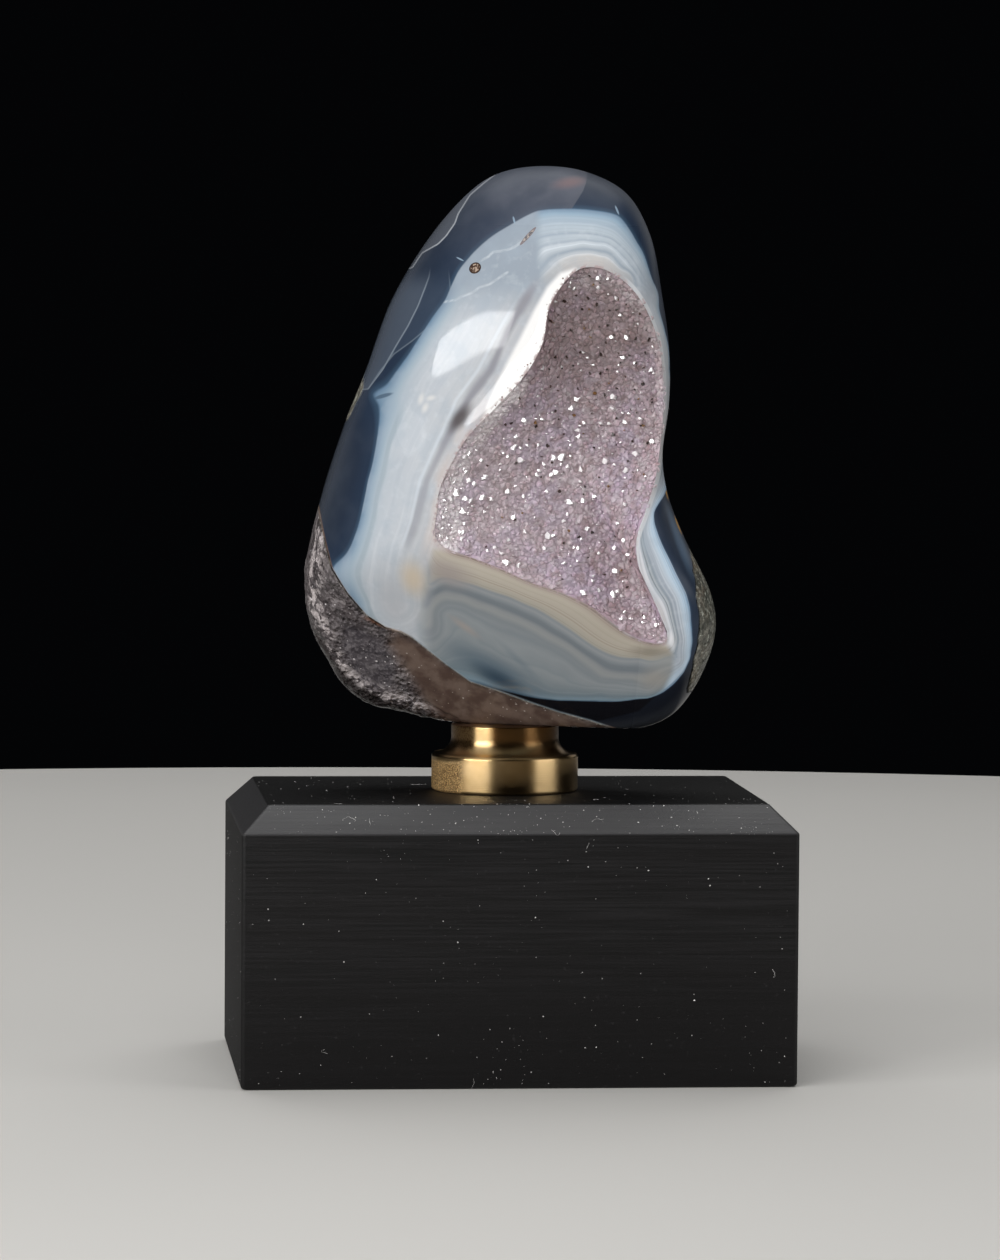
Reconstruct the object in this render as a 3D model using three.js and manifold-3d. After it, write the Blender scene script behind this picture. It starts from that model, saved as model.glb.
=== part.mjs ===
// Agate and amethyst geode, set on a turned brass collar on a black wooden block.
//
// Millimetres, +Z up. X runs along the block, the front faces -Y, and the origin is
// the middle of the block's underside.

import * as THREE from 'three';
import { mergeVertices } from 'three/addons/utils/BufferGeometryUtils.js';
import Module from 'manifold-3d';

const wasm = await Module();
wasm.setup();

// Wooden block: a 4 in by 2.75 in by 2 in display block, chamfered round its top
const BLOCK_WIDTH = 100;
const BLOCK_DEPTH = 69;
const BLOCK_HEIGHT = 50.7;
const TOP_CHAMFER = 5;
const FOOT_CHAMFER = 0.5;
const BLOCK_CORNER_RADIUS = 0.8;
const CORNER_STEPS = 3;

// Brass collar: a wide foot, a hollow fillet and a neck that the stone sits on
const FOOT_RADIUS = 13.5;
const FOOT_HEIGHT = 6.9;
const NECK_RADIUS = 9.9;
const COLLAR_HEIGHT = 12.2;
const FILLET_RADIUS = 3;
const COLLAR_EDGE = 0.4;
const COLLAR_SEGMENTS = 48;

// The stone is drawn in a frame of its own: across to its right, depth away from its
// front, and height above its seat on the collar. The frame is turned about Z.
const STONE_TURN = THREE.MathUtils.degToRad(-5.33);

// Silhouette of the stone from the front, as [across, height]
const STONE_OUTLINE = [
  [28.3, 50.1], [29.4, 59.6], [29.4, 69.1], [28, 79.1], [25.9, 89.6], [21.5, 97.4],
  [14, 101.4], [5.7, 102.4], [-2, 101], [-8, 96.9], [-15, 88.6], [-21.5, 77.6],
  [-26.2, 64.6], [-30, 54.9], [-33.8, 43.1], [-36.6, 31.6], [-37.2, 24.1], [-36.1, 17.6],
  [-32.5, 9.6], [-26.5, 4.1], [-17, 0.3], [-6, -1.5], [7, -1.7], [19, -1.1],
  [28.8, 1.4], [34.4, 7.4], [38, 16.6], [37.4, 24.6], [32.6, 34.6], [29.4, 42.6],
];
const STONE_CENTRE = [0, 45.1];

// Depth of the stone each way from its middle sheet. That sheet leans forwards on the
// right, so that the polished face is turned a little to the left.
const HALF_DEPTH_FRONT = 24.5;
const HALF_DEPTH_BACK = 23.5;
const LEAN = 0.14;

// Squareness of the sections: 2 is an ellipse, and a higher power has blunter limbs
const POWER_LEFT = 2.2;
const POWER_RIGHT = 4.2;
const POWER_BACK = 2.3;

// Flats that the polishing left, each as its outward direction [across, depth, height]
// and its distance from the stone's centre. A higher sharpness gives a crisper edge.
const FLATS = [
  { facing: [-0.287, -0.777, -0.56], distance: 27.6 },
];
const FLAT_SHARPNESS = 30;

// Natural rind: knobs and pits on the back, and below the line that ends the polish at
// the lower left
const KNOB_COUNT = 190;
const KNOB_RADII = [4.5, 9.5];
const KNOB_RISES = [-2, 1.5];
const KNOB_SEED = 7;
const RIND_STARTS_BEHIND = 1;
const RIND_FULL_BEHIND = 8;
const POLISH_END = { direction: [-0.63, -0.78], distance: 33.2, fade: 3 };

// Rim of the hollow from the front, as [across, height], and its middle
const HOLLOW_RIM = [
  [11.9, 83.0], [16.4, 83.7], [20.9, 81.3], [24.4, 77.1], [26.8, 71.5], [27.9, 65.5],
  [28.1, 59], [27.7, 52.5], [26.7, 45.9], [24.9, 40.3], [23.3, 35.1], [23.9, 29.8],
  [26.5, 24.4], [28.9, 19], [28.2, 16.6], [24.1, 17.1], [19.6, 19.8], [15.1, 23.1],
  [9.7, 25.6], [4.3, 27.3], [-1.1, 29.7], [-6.5, 31.7], [-11.1, 33.3], [-12.9, 35.6],
  [-12.5, 40.1], [-11.8, 44.6], [-7.5, 52.7], [-2.2, 58.5], [3.1, 64.5], [6.2, 70.2],
  [7.6, 77.2],
];
const HOLLOW_CENTRE = [13, 48.7];
const HOLLOW_MIDDLE_DEPTH = -15.8;
const RIM_STEPS = 84;
const FLOOR_GRID = 3.2;

// Rolled lip of white agate along the hollow's upper left edge
const LIP_RISE = 0.45;
const LIP_WIDTH = 2.2;
const LIP_BEARING = THREE.MathUtils.degToRad(140);
const LIP_SPREAD = THREE.MathUtils.degToRad(42);

// Crust of crystals in the hollow: six-sided points on a shaken honeycomb
const CRUST_THICKNESS = 1.6;
const CRUST_SINK = 0.7;
const CRUST_GAP = 0.3;
const CRYSTAL_PITCH = 2.25;
const CRYSTAL_SHAKE = 0.42;
const CRYSTAL_HEIGHTS = [0.5, 1.5];
const CRYSTAL_SEED = 41;

const STONE_DETAIL = 13;
const BEYOND_STONE = 60;

// A closed outline read by bearing from a centre inside it
class PolarOutline {
  constructor(points, [centreAcross, centreHeight], steps = 720) {
    const corners = points.map(([across, height]) => new THREE.Vector3(across, 0, height));
    this.curve = new THREE.CatmullRomCurve3(corners, true, 'catmullrom', 0.5);
    this.samples = [];
    for (let step = 0; step < steps; step += 1) {
      const point = this.curve.getPoint(step / steps);
      const across = point.x - centreAcross;
      const height = point.z - centreHeight;
      this.samples.push([Math.atan2(height, across), Math.hypot(across, height)]);
    }
    this.samples.sort((a, b) => a[0] - b[0]);
  }

  reach(bearing) {
    const samples = this.samples;
    const count = samples.length;
    let low = 0;
    let high = count;
    while (low < high) {
      const middle = (low + high) >> 1;
      if (samples[middle][0] < bearing) low = middle + 1;
      else high = middle;
    }
    const [bearingAfter, reachAfter] = samples[low % count];
    const [bearingBefore, reachBefore] = samples[(low + count - 1) % count];
    const turn = 2 * Math.PI;
    const span = (bearingAfter - bearingBefore + turn) % turn;
    const part = ((bearing - bearingBefore + turn) % turn) / span;
    return reachBefore + (reachAfter - reachBefore) * part;
  }
}

const stoneOutline = new PolarOutline(STONE_OUTLINE, STONE_CENTRE);
const hollowRim = new PolarOutline(HOLLOW_RIM, HOLLOW_CENTRE);

// 1 on the stone's skin, less inside and more outside, for a place measured from the
// stone's centre. It grows in proportion along every line from the centre.
function skinGauge(across, depth, height) {
  const bearing = Math.atan2(height, across);
  const fromSheet = depth + LEAN * across;
  const rightness = 0.5 + 0.5 * Math.cos(bearing);
  const frontPower = THREE.MathUtils.lerp(POWER_LEFT, POWER_RIGHT, rightness ** 2);
  const power = fromSheet < 0 ? frontPower : POWER_BACK;
  const halfDepth = fromSheet < 0 ? HALF_DEPTH_FRONT : HALF_DEPTH_BACK;
  const flatPart = Math.hypot(across, height) / stoneOutline.reach(bearing);
  const deepPart = Math.abs(fromSheet) / halfDepth;
  let total = (flatPart ** power + deepPart ** power) ** (FLAT_SHARPNESS / power);
  for (const { facing, distance } of FLATS) {
    const ahead = across * facing[0] + depth * facing[1] + height * facing[2];
    total += (Math.max(0, ahead) / distance) ** FLAT_SHARPNESS;
  }
  return total ** (1 / FLAT_SHARPNESS);
}

// Depth of the polished front behind a place on the front view
function frontDepth(across, height) {
  let outside = -BEYOND_STONE;
  let inside = -LEAN * across;
  for (let step = 0; step < 30; step += 1) {
    const middle = (outside + inside) / 2;
    if (skinGauge(across, middle, height - STONE_CENTRE[1]) < 1) inside = middle;
    else outside = middle;
  }
  return (outside + inside) / 2;
}

// Knobs of the rind, each a middle on the stone's skin, a radius and a rise, spread
// evenly round the stone and then shaken
function rindKnobs() {
  THREE.MathUtils.seededRandom(KNOB_SEED);
  const between = ([low, high]) => low + (high - low) * THREE.MathUtils.seededRandom();
  const goldenTurn = Math.PI * (3 - Math.sqrt(5));
  const knobs = [];
  for (let index = 0; index < KNOB_COUNT; index += 1) {
    const lift = 1 - (2 * (index + between([0.1, 0.9]))) / KNOB_COUNT;
    const turn = index * goldenTurn + between([-0.25, 0.25]);
    const middle = new THREE.Vector3(
      Math.sqrt(1 - lift * lift) * Math.cos(turn),
      Math.sqrt(1 - lift * lift) * Math.sin(turn),
      lift,
    );
    middle.divideScalar(skinGauge(middle.x, middle.y, middle.z));
    knobs.push({ middle, radius: between(KNOB_RADII), rise: between(KNOB_RISES) });
  }
  return knobs;
}

function knobRelief(knobs, spot) {
  let relief = 0;
  for (const { middle, radius, rise } of knobs) {
    const share = spot.distanceToSquared(middle) / radius ** 2;
    if (share < 1) relief += rise * (1 - share) ** 2;
  }
  return relief;
}

// Rise of the lip beside the hollow, for a place on the front
function lipRise(across, depth, height) {
  const [centreAcross, centreHeight] = HOLLOW_CENTRE;
  const right = across - centreAcross;
  const up = height + STONE_CENTRE[1] - centreHeight;
  const bearing = Math.atan2(up, right);
  const beyond = (Math.hypot(right, up) - hollowRim.reach(bearing)) / LIP_WIDTH;
  const turned = bearing - LIP_BEARING;
  const offCourse = Math.atan2(Math.sin(turned), Math.cos(turned)) / LIP_SPREAD;
  const onFront = THREE.MathUtils.smoothstep(-depth, 0, HALF_DEPTH_FRONT / 2);
  return LIP_RISE * onFront * Math.exp(-(beyond ** 2) - offCourse ** 4);
}

// How far the surface at a place is natural rind, from 0 on the polish to 1
function rindShare(across, depth, height) {
  const { direction, distance, fade } = POLISH_END;
  const behind = THREE.MathUtils.smoothstep(
    depth + LEAN * across, RIND_STARTS_BEHIND, RIND_FULL_BEHIND,
  );
  const beyond = across * direction[0] + height * direction[1];
  const below = THREE.MathUtils.smoothstep(beyond, distance, distance + fade);
  return Math.max(behind, 0.6 * below);
}

function toSolid(geometry) {
  const bare = geometry.clone();
  bare.deleteAttribute('normal');
  bare.deleteAttribute('uv');
  const merged = mergeVertices(bare);
  return new wasm.Manifold(new wasm.Mesh({
    numProp: 3,
    vertProperties: new Float32Array(merged.attributes.position.array),
    triVerts: new Uint32Array(merged.index.array),
  }));
}

function toGeometry(solid) {
  const mesh = solid.getMesh();
  const geometry = new THREE.BufferGeometry();
  geometry.setAttribute('position', new THREE.BufferAttribute(mesh.vertProperties, 3));
  geometry.setIndex(new THREE.BufferAttribute(mesh.triVerts, 1));
  geometry.computeVertexNormals();
  return geometry;
}

// A closed geometry from rings of points that all have the same count, lowest first
function stackRings(rings) {
  const count = rings[0].length;
  const positions = rings.flat().flatMap((point) => point.toArray());
  const faces = [];
  for (let ring = 0; ring + 1 < rings.length; ring += 1) {
    for (let step = 0; step < count; step += 1) {
      const a = ring * count + step;
      const b = ring * count + ((step + 1) % count);
      faces.push(a, b, b + count, a, b + count, a + count);
    }
  }
  const lastRing = (rings.length - 1) * count;
  for (let step = 1; step + 1 < count; step += 1) {
    faces.push(0, step + 1, step);
    faces.push(lastRing, lastRing + step, lastRing + step + 1);
  }
  const geometry = new THREE.BufferGeometry();
  geometry.setAttribute('position', new THREE.Float32BufferAttribute(positions, 3));
  geometry.setIndex(faces);
  geometry.computeVertexNormals();
  return geometry;
}

// A solid from an open sheet of triangles that faces -Y, filled back to one depth
function fillBehind(points, faces, backDepth) {
  const count = points.length;
  const backs = points.map(([across, , height]) => [across, backDepth, height]);
  const all = faces.flatMap(([a, b, c]) => [a, b, c, c + count, b + count, a + count]);
  const edges = new Set(faces.flatMap(([a, b, c]) => [`${a} ${b}`, `${b} ${c}`, `${c} ${a}`]));
  for (const edge of edges) {
    const [a, b] = edge.split(' ').map(Number);
    if (!edges.has(`${b} ${a}`)) all.push(b, a, a + count, b, a + count, b + count);
  }
  return new wasm.Manifold(new wasm.Mesh({
    numProp: 3,
    vertProperties: new Float32Array([...points, ...backs].flat()),
    triVerts: new Uint32Array(all),
  }));
}

// The hollow's outline as a prism along the depth, drawn in by an inset
function rimPrism(inset) {
  const shape = new THREE.Shape();
  for (let step = 0; step < RIM_STEPS; step += 1) {
    const place = hollowRim.curve.getPoint(step / RIM_STEPS);
    const along = hollowRim.curve.getTangent(step / RIM_STEPS);
    const across = place.x + inset * along.z;
    const height = place.z - inset * along.x;
    if (step === 0) shape.moveTo(across, height);
    else shape.lineTo(across, height);
  }
  shape.closePath();
  const prism = new THREE.ExtrudeGeometry(shape, { depth: BEYOND_STONE, bevelEnabled: false });
  prism.rotateX(Math.PI / 2);
  return toSolid(prism);
}

// Depth at which the crystals' feet stand: at the rim just under the polish, and
// sinking to the middle of the hollow
function crustLevel(across, height) {
  const [centreAcross, centreHeight] = HOLLOW_CENTRE;
  const bearing = Math.atan2(height - centreHeight, across - centreAcross);
  const reach = hollowRim.reach(bearing);
  const share = Math.min(1, Math.hypot(across - centreAcross, height - centreHeight) / reach);
  const rimAcross = centreAcross + reach * Math.cos(bearing);
  const rimHeight = centreHeight + reach * Math.sin(bearing);
  const rimDepth = frontDepth(rimAcross, rimHeight) + CRUST_SINK;
  return THREE.MathUtils.lerp(HOLLOW_MIDDLE_DEPTH, rimDepth, share ** 2);
}

function hollowBounds() {
  const acrosses = HOLLOW_RIM.map(([across]) => across);
  const heights = HOLLOW_RIM.map(([, height]) => height);
  return {
    left: Math.min(...acrosses) - FLOOR_GRID,
    right: Math.max(...acrosses) + FLOOR_GRID,
    bottom: Math.min(...heights) - FLOOR_GRID,
    top: Math.max(...heights) + FLOOR_GRID,
  };
}

// Everything behind the hollow's floor, which lies a given way behind the crystals' feet
function behindFloor(setBack) {
  const { left, right, bottom, top } = hollowBounds();
  const columns = Math.ceil((right - left) / FLOOR_GRID);
  const rows = Math.ceil((top - bottom) / FLOOR_GRID);
  const points = [];
  const faces = [];
  for (let row = 0; row <= rows; row += 1) {
    for (let column = 0; column <= columns; column += 1) {
      const across = left + column * FLOOR_GRID;
      const height = bottom + row * FLOOR_GRID;
      points.push([across, crustLevel(across, height) + setBack, height]);
      if (row < rows && column < columns) {
        const corner = row * (columns + 1) + column;
        const above = corner + columns + 1;
        faces.push([corner, corner + 1, above + 1], [corner, above + 1, above]);
      }
    }
  }
  return fillBehind(points, faces, BEYOND_STONE);
}

// A honeycomb of crystal points over the hollow. Each point is a cell of the comb, and
// the six feet round it lie in the valleys that it shares with its neighbours.
function crystalField() {
  THREE.MathUtils.seededRandom(CRYSTAL_SEED);
  const shaken = (amount) => amount * (THREE.MathUtils.seededRandom() - 0.5) * CRYSTAL_PITCH;
  const { left, right, bottom, top } = hollowBounds();
  const rowPitch = CRYSTAL_PITCH * Math.sqrt(0.75);
  const rows = Math.ceil((top - bottom) / rowPitch);
  const columns = Math.ceil((right - left) / CRYSTAL_PITCH) + Math.ceil(rows / 2);
  const points = [];
  const faces = [];
  const places = new Map();

  // Thirds of a cell: a tip is at a whole cell, a foot at one third or two thirds
  const placeOf = (column, row, third) => {
    const key = `${column} ${row} ${third}`;
    if (!places.has(key)) {
      const slide = column + third / 3 + (row + third / 3 - rows) / 2;
      const across = left + slide * CRYSTAL_PITCH + shaken(CRYSTAL_SHAKE);
      const height = bottom + (row + third / 3) * rowPitch + shaken(CRYSTAL_SHAKE);
      const [low, high] = CRYSTAL_HEIGHTS;
      const tall = third === 0 ? low + (high - low) * THREE.MathUtils.seededRandom() ** 2 : 0;
      places.set(key, points.length);
      points.push([across, crustLevel(across, height) - tall, height]);
    }
    return places.get(key);
  };

  for (let row = 1; row < rows; row += 1) {
    for (let column = 1; column < columns + rows / 2; column += 1) {
      const tip = placeOf(column, row, 0);
      const feet = [
        placeOf(column, row, 1),
        placeOf(column - 1, row, 2),
        placeOf(column - 1, row, 1),
        placeOf(column - 1, row - 1, 2),
        placeOf(column, row - 1, 1),
        placeOf(column, row - 1, 2),
      ];
      feet.forEach((foot, side) => faces.push([tip, foot, feet[(side + 1) % feet.length]]));
    }
  }
  return fillBehind(points, faces, BEYOND_STONE);
}

function stoneGeometry() {
  const ball = new THREE.IcosahedronGeometry(1, STONE_DETAIL);
  ball.deleteAttribute('normal');
  ball.deleteAttribute('uv');
  const skin = mergeVertices(ball);
  const place = skin.attributes.position;
  const knobs = rindKnobs();
  const spot = new THREE.Vector3();
  for (let index = 0; index < place.count; index += 1) {
    spot.fromBufferAttribute(place, index);
    const direction = spot.clone();
    spot.divideScalar(skinGauge(spot.x, spot.y, spot.z));
    const rind = rindShare(spot.x, spot.y, spot.z) * knobRelief(knobs, spot);
    spot.addScaledVector(direction, rind + lipRise(spot.x, spot.y, spot.z));
    place.setXYZ(index, spot.x, spot.y, spot.z + STONE_CENTRE[1]);
  }
  const underSeat = new THREE.BoxGeometry(2 * BEYOND_STONE, 2 * BEYOND_STONE, BEYOND_STONE);
  underSeat.translate(0, 0, -BEYOND_STONE / 2);
  const hollow = rimPrism(0).subtract(behindFloor(CRUST_THICKNESS + CRUST_GAP));
  return toGeometry(toSolid(skin).subtract(toSolid(underSeat)).subtract(hollow));
}

function crustGeometry() {
  const crust = crystalField().intersect(rimPrism(CRUST_GAP));
  return toGeometry(crust.subtract(behindFloor(CRUST_THICKNESS)));
}

function collarGeometry() {
  const profile = new THREE.Path();
  const filletTop = FOOT_HEIGHT + FILLET_RADIUS;
  profile.moveTo(0, 0);
  profile.lineTo(FOOT_RADIUS - COLLAR_EDGE, 0);
  profile.lineTo(FOOT_RADIUS, COLLAR_EDGE);
  profile.lineTo(FOOT_RADIUS, FOOT_HEIGHT - COLLAR_EDGE);
  profile.lineTo(FOOT_RADIUS - COLLAR_EDGE, FOOT_HEIGHT);
  profile.lineTo(NECK_RADIUS + FILLET_RADIUS, FOOT_HEIGHT);
  const filletAcross = NECK_RADIUS + FILLET_RADIUS;
  profile.absarc(filletAcross, filletTop, FILLET_RADIUS, -Math.PI / 2, Math.PI, true);
  profile.lineTo(NECK_RADIUS, COLLAR_HEIGHT);
  profile.lineTo(0, COLLAR_HEIGHT);
  const turned = new THREE.LatheGeometry(profile.getPoints(4), COLLAR_SEGMENTS);
  turned.rotateX(Math.PI / 2);
  return toGeometry(toSolid(turned));
}

function blockGeometry() {
  const levels = [
    { height: 0, inset: FOOT_CHAMFER },
    { height: FOOT_CHAMFER, inset: 0 },
    { height: BLOCK_HEIGHT - TOP_CHAMFER, inset: 0 },
    { height: BLOCK_HEIGHT, inset: TOP_CHAMFER },
  ];
  const rings = levels.map(({ height, inset }) => {
    const ring = [];
    for (const corner of [0, 1, 2, 3]) {
      const right = corner === 0 || corner === 3 ? 1 : -1;
      const back = corner < 2 ? 1 : -1;
      const x = right * (BLOCK_WIDTH / 2 - inset - BLOCK_CORNER_RADIUS);
      const y = back * (BLOCK_DEPTH / 2 - inset - BLOCK_CORNER_RADIUS);
      for (let step = 0; step <= CORNER_STEPS; step += 1) {
        const angle = (corner + step / CORNER_STEPS) * (Math.PI / 2);
        const roundX = BLOCK_CORNER_RADIUS * Math.cos(angle);
        const roundY = BLOCK_CORNER_RADIUS * Math.sin(angle);
        ring.push(new THREE.Vector3(x + roundX, y + roundY, height));
      }
    }
    return ring;
  });
  return stackRings(rings);
}

function piece(name, geometry, color, roughness, metalness) {
  const material = new THREE.MeshStandardMaterial({ color, roughness, metalness });
  const mesh = new THREE.Mesh(geometry, material);
  mesh.name = name;
  return mesh;
}

const block = piece('wood_block', blockGeometry(), 0x1c1c1d, 0.6, 0);
const collar = piece('brass_collar', collarGeometry(), 0xb08d4a, 0.35, 1);
const stone = piece('agate_stone', stoneGeometry(), 0x9fb3c4, 0.12, 0);
const crust = piece('amethyst_crust', crustGeometry(), 0x9d8fa3, 0.3, 0);

collar.position.z = BLOCK_HEIGHT;

const setStone = new THREE.Group();
setStone.position.z = BLOCK_HEIGHT + COLLAR_HEIGHT;
setStone.rotation.z = STONE_TURN;
setStone.add(stone, crust);

const geode = new THREE.Group();
geode.add(block, collar, setStone);

export default geode;
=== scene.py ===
import math

import bpy
import numpy as np
from mathutils import Matrix, Vector, noise


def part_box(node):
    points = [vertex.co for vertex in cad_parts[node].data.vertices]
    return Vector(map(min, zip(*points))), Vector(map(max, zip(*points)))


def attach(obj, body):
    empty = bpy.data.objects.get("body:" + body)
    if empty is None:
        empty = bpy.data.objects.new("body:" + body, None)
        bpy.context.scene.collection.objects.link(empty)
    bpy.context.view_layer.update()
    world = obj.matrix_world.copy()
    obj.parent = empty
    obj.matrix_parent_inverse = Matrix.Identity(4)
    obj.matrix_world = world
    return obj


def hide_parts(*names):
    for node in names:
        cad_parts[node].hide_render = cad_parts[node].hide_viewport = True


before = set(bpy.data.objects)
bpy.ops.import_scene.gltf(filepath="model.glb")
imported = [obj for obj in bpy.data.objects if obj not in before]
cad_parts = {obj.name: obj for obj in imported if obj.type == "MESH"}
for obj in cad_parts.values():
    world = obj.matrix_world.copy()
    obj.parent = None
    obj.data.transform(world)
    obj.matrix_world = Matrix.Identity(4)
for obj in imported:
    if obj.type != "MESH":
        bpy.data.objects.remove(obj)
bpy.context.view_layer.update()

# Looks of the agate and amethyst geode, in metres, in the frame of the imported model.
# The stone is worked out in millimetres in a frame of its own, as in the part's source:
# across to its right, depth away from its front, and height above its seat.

MM = 0.001
SEAT = np.array([0, 0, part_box("brass_collar")[1].z])

# Camera, fitted to the corners of the block in the photograph
PHOTO_WIDTH = 1000
PHOTO_HEIGHT = 1260
FOCAL_PIXELS = 5491
SENSOR_MM = 36
CAMERA_PLACE_MM = np.array([-94.8, -1004.9, 139.6])
CAMERA_YAW = math.radians(-5.33)
CAMERA_PITCH = math.radians(-3.37)
CAMERA_ROLL = math.radians(-0.41)
CAMERA_TURN = (Matrix.Rotation(CAMERA_YAW, 3, "Z") @ Matrix.Rotation(CAMERA_PITCH, 3, "X")
               @ Matrix.Rotation(CAMERA_ROLL, 3, "Y"))

# The stone's form, as in the part's source
STONE_TURN = np.array(Matrix.Rotation(math.radians(-5.33), 3, "Z"))
STONE_OUTLINE = [
    (28.3, 50.1), (29.4, 59.6), (29.4, 69.1), (28, 79.1), (25.9, 89.6), (21.5, 97.4),
    (14, 101.4), (5.7, 102.4), (-2, 101), (-8, 96.9), (-15, 88.6), (-21.5, 77.6),
    (-26.2, 64.6), (-30, 54.9), (-33.8, 43.1), (-36.6, 31.6), (-37.2, 24.1), (-36.1, 17.6),
    (-32.5, 9.6), (-26.5, 4.1), (-17, 0.3), (-6, -1.5), (7, -1.7), (19, -1.1),
    (28.8, 1.4), (34.4, 7.4), (38, 16.6), (37.4, 24.6), (32.6, 34.6), (29.4, 42.6),
]
STONE_CENTRE = (0, 45.1)
HALF_DEPTH_FRONT = 24.5
HALF_DEPTH_BACK = 23.5
LEAN = 0.14
POWER_LEFT = 2.2
POWER_RIGHT = 4.2
POWER_BACK = 2.3
FLAT_FACING = (-0.287, -0.777, -0.56)
FLAT_DISTANCE = 27.6
FLAT_SHARPNESS = 30
KNOB_COUNT = 190
KNOB_RADII = (4.5, 9.5)
KNOB_RISES = (-2, 1.5)
KNOB_SEED = 7
RIND_STARTS_BEHIND = 1
RIND_FULL_BEHIND = 8
POLISH_END_DIRECTION = (-0.63, -0.78)
POLISH_END_DISTANCE = 33.2
POLISH_END_FADE = 3
POLISH_END_RIND = 0.6
HOLLOW_RIM = [
    (11.9, 83.0), (16.4, 83.7), (20.9, 81.3), (24.4, 77.1), (26.8, 71.5), (27.9, 65.5),
    (28.1, 59), (27.7, 52.5), (26.7, 45.9), (24.9, 40.3), (23.3, 35.1), (23.9, 29.8),
    (26.5, 24.4), (28.9, 19), (28.2, 16.6), (24.1, 17.1), (19.6, 19.8), (15.1, 23.1),
    (9.7, 25.6), (4.3, 27.3), (-1.1, 29.7), (-6.5, 31.7), (-11.1, 33.3), (-12.9, 35.6),
    (-12.5, 40.1), (-11.8, 44.6), (-7.5, 52.7), (-2.2, 58.5), (3.1, 64.5), (6.2, 70.2),
    (7.6, 77.2),
]
HOLLOW_CENTRE = (13, 48.7)
HOLLOW_MIDDLE_DEPTH = -15.8
LIP_RISE = 0.45
LIP_WIDTH = 2.2
LIP_BEARING = math.radians(140)
LIP_SPREAD = math.radians(42)
CRUST_THICKNESS = 1.6
CRUST_SINK = 0.7
CRUST_GAP = 0.3

# A depth in front of everything, and how often the searches for the front close in
FAR_IN_FRONT = -60.0
SEARCH_ROUNDS = 30
AIM_ROUNDS = 8

# Lines that the bands of the agate follow on the front, picked in photograph pixels,
# each with the share of the way from the hollow's rim to the dark skin
BAND_LINES = [
    (1.0, [(659, 305), (653, 282), (647, 263), (638, 244), (628, 227), (619, 216), (611, 213),
           (583, 209), (552, 209), (537, 211), (524, 217), (510, 225), (495, 234), (476, 250),
           (467, 260), (459, 270), (454, 280), (445, 300), (436, 312), (424, 330), (412, 349),
           (400, 366), (387, 384), (373, 395), (378, 404), (379, 420), (375, 450), (368, 480),
           (362, 510), (355, 535), (345, 555), (333, 567), (478, 684), (500, 690), (520, 695),
           (540, 699), (560, 701), (600, 702), (640, 699), (655, 696), (669, 688), (680, 677),
           (687, 665), (691, 650), (692, 635), (691, 620), (688, 600), (683, 587), (677, 575),
           (670, 560), (664, 548), (657, 530), (654, 512)]),
    (0.85, [(402, 406), (396, 426), (388, 450), (384, 468), (379, 488), (375, 508), (370, 532),
            (364, 552)]),
    (0.53, [(651, 297), (638, 279), (625, 262), (615, 251), (604, 245), (583, 243), (561, 247),
            (544, 251)]),
    (0.4, [(655, 323), (647, 306), (634, 287), (621, 270), (613, 262), (600, 256), (583, 254),
           (566, 257), (550, 268), (532, 288), (515, 313), (500, 345), (487, 368), (472, 390),
           (457, 418), (446, 450), (434, 490), (426, 520), (419, 545)]),
    (0.72, [(649, 284), (640, 270), (630, 255), (619, 244), (604, 236), (583, 233), (562, 233),
            (547, 235), (505, 262), (470, 300), (440, 350), (415, 400), (402, 450), (392, 500),
            (382, 550)]),
    (0.8, [(664, 335), (668, 370)]),
    (0.32, [(428, 583), (443, 578), (460, 582), (485, 590), (510, 598), (535, 609), (560, 624),
            (580, 638), (595, 648), (612, 656), (640, 659), (668, 656)]),
    (0.4, [(424, 604), (430, 593), (443, 587), (460, 590), (480, 597), (503, 606), (527, 616),
           (552, 630), (577, 646), (598, 660), (618, 668), (643, 670)]),
    (0.47, [(428, 625), (431, 608), (440, 598), (453, 598), (477, 606), (502, 615), (527, 625),
            (552, 639), (577, 655), (595, 668), (620, 677), (645, 679)]),
    (0.6, [(440, 632), (442, 615), (452, 609), (480, 619), (520, 637), (560, 659), (600, 684),
           (650, 689)]),
    (0.74, [(452, 640), (475, 645), (510, 661), (550, 680)]),
    (0.85, [(470, 664), (500, 676), (550, 690), (600, 693)]),
    (0.45, [(645, 530), (654, 560), (674, 600), (682, 640), (681, 662)]),
    (0.62, [(412, 600), (408, 625), (412, 580)]),
    (0.92, [(348, 573), (355, 588), (362, 601)]),
    (0.74, [(371, 588), (378, 604), (388, 616)]),
    (1.35, [(350, 470), (330, 530), (350, 430), (390, 330), (420, 270), (460, 215), (500, 188),
            (560, 176), (610, 184), (640, 205), (662, 240), (703, 590), (706, 640), (690, 690),
            (640, 714), (560, 718), (500, 714), (668, 500)]),
]
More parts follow.
